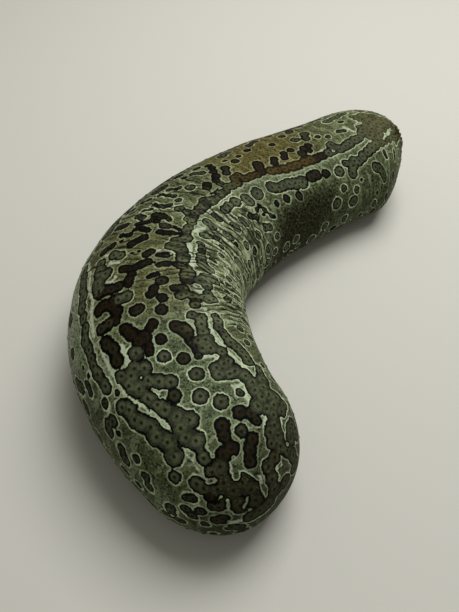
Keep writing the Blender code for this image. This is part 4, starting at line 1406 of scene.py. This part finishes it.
add_rings([round_ring(0, 0, z, DISC_RADIUS * share, DISC_SIDES) for z, share in DISC_PROFILE])
draw = random.Random(TENTACLE_SEED)
for row, (number, off_axis, length, lean) in enumerate(TENTACLE_RINGS):
    for i in range(number):
        way = math.tau * (i + 0.5 * row) / number + draw.uniform(-TENTACLE_STRAY, TENTACLE_STRAY)
        tall = length * draw.uniform(*TENTACLE_SIZES)
        phase = draw.uniform(0.0, math.tau)
        rings = []
        for above_root, share, radius, lobes in TENTACLE_PROFILE:
            z = above_root + share * tall
            reach = off_axis + lean * z
            x, y = reach * math.cos(way), reach * math.sin(way)
            rings.append(round_ring(x, y, z + ROOT_HEIGHT, radius, SHIELD_SIDES, lobes, phase))
        add_rings(rings)
crown_own = np.concatenate(crown_points)
crown_placed = crown_base + crown_own @ np.array(turn_to).T
crown = mesh_from("oral_tentacle_crown", crown_placed, crown_faces)
shield_kept = crown.data.attributes.new("shield", "FLOAT", "POINT")
shield_kept.data.foreach_set("value", crown_own[:, 2].astype(np.float32))

# Soft wet flesh, dark brown with pale tips to the shields
TENTACLE_FLESH = hex_colour("33261a")
SHIELD_TIP = hex_colour("8c7c50")
TENTACLE_PATTERNS = {
    "tip_edge": (0.8, 2.0, 0.5),
    "blotches": (1.5, 2.0, 0.5),
    "pores": (0.35, 2.0, 0.5),
}
tentacle_material, on_crown = start_material("tentacle_flesh", TENTACLE_PATTERNS, ("shield",))
tree = tentacle_material.node_tree
tip = formula(on_crown["shield"], (on_crown["tip_edge"], 1.2))
flesh = paint(TENTACLE_FLESH, [
    (SPOT_RIM, on_crown["blotches"], 0.5),
    (SHIELD_TIP, (tip, 3.9, 4.9), 0.8),
])
add_surface(on_crown["pores"], strength=0.4, depth=0.1, Base_Color=flesh,
            Roughness=0.38, IOR=1.38)
crown.data.materials.append(tentacle_material)
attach(crown, "root")
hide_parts("oral_tentacles")

# Stage
# A plain pale paper floor, matt and even, under soft studio light from two area lights and
# a pale sky. It is seen from above and in front of the mouth end.
FLOOR_REACH = 3000.0
PAPER = hex_colour("c9c7be")
PAPER_ROUGHNESS = 0.85
SKY = hex_colour("eeeee4")
SKY_STRENGTH = 0.26
SOFT_BOX_SIZE = 0.7
SOFT_BOX_TARGET = Vector((0.0, 0.0, 0.02))
SOFT_BOXES = (
    # name, place in metres, watts
    ("overhead_box", (0.25, 0.38, 0.95), 11.0),
    ("front_fill", (0.6, -0.9, 0.7), 0.3),
)

floor_corners = np.array(((-1, -1, 0), (1, -1, 0), (1, 1, 0), (-1, 1, 0))) * FLOOR_REACH
floor = mesh_from("studio_floor", floor_corners, (np.array([[0, 1, 2, 3]]),))
floor_material = bpy.data.materials.new("pale_paper_floor")
floor_material.use_nodes = True
paper = floor_material.node_tree.nodes["Principled BSDF"]
paper.inputs["Base Color"].default_value = PAPER
paper.inputs["Roughness"].default_value = PAPER_ROUGHNESS
floor.data.materials.append(floor_material)
floor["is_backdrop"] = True

for name, place, watts in SOFT_BOXES:
    light = bpy.data.lights.new(name, "AREA")
    light.shape = "SQUARE"
    light.size = SOFT_BOX_SIZE
    light.energy = watts
    soft_box = bpy.data.objects.new(name, light)
    soft_box.location = place
    soft_box.rotation_euler = (SOFT_BOX_TARGET - Vector(place)).to_track_quat("-Z", "Y").to_euler()
    bpy.context.scene.collection.objects.link(soft_box)

world = bpy.data.worlds.new("studio")
world.use_nodes = True
sky = world.node_tree.nodes["Background"]
sky.inputs["Color"].default_value = SKY
sky.inputs["Strength"].default_value = SKY_STRENGTH
bpy.context.scene.world = world
bpy.context.scene.view_settings.view_transform = "Standard"

# The camera stands 379 mm from the middle of what it sees and looks down 50 degrees, with
# a lens that gives the photograph's frame
CAMERA_TARGET = Vector((-0.0177, -0.0282, 0.0338))
CAMERA_DISTANCE = 0.379
CAMERA_TILT = math.radians(50.0)
FOCAL_PIXELS = 640.0
IMAGE_HEIGHT = 612
SENSOR_WIDTH = 36.0
camera_data = bpy.data.cameras.new("camera")
camera_data.sensor_width = SENSOR_WIDTH
camera_data.lens = FOCAL_PIXELS * SENSOR_WIDTH / IMAGE_HEIGHT
camera_data.clip_start = 0.01
camera = bpy.data.objects.new("camera", camera_data)
towards_camera = Vector((0.0, -math.cos(CAMERA_TILT), math.sin(CAMERA_TILT)))
camera.location = CAMERA_TARGET + CAMERA_DISTANCE * towards_camera
camera.rotation_euler = (math.pi / 2 - CAMERA_TILT, 0.0, 0.0)
bpy.context.scene.collection.objects.link(camera)
bpy.context.scene.camera = camera

low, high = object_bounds()
({
    "cad_box": [list(cad_low), list(cad_high)],
    "visual_box": [list(low), list(high)],
})
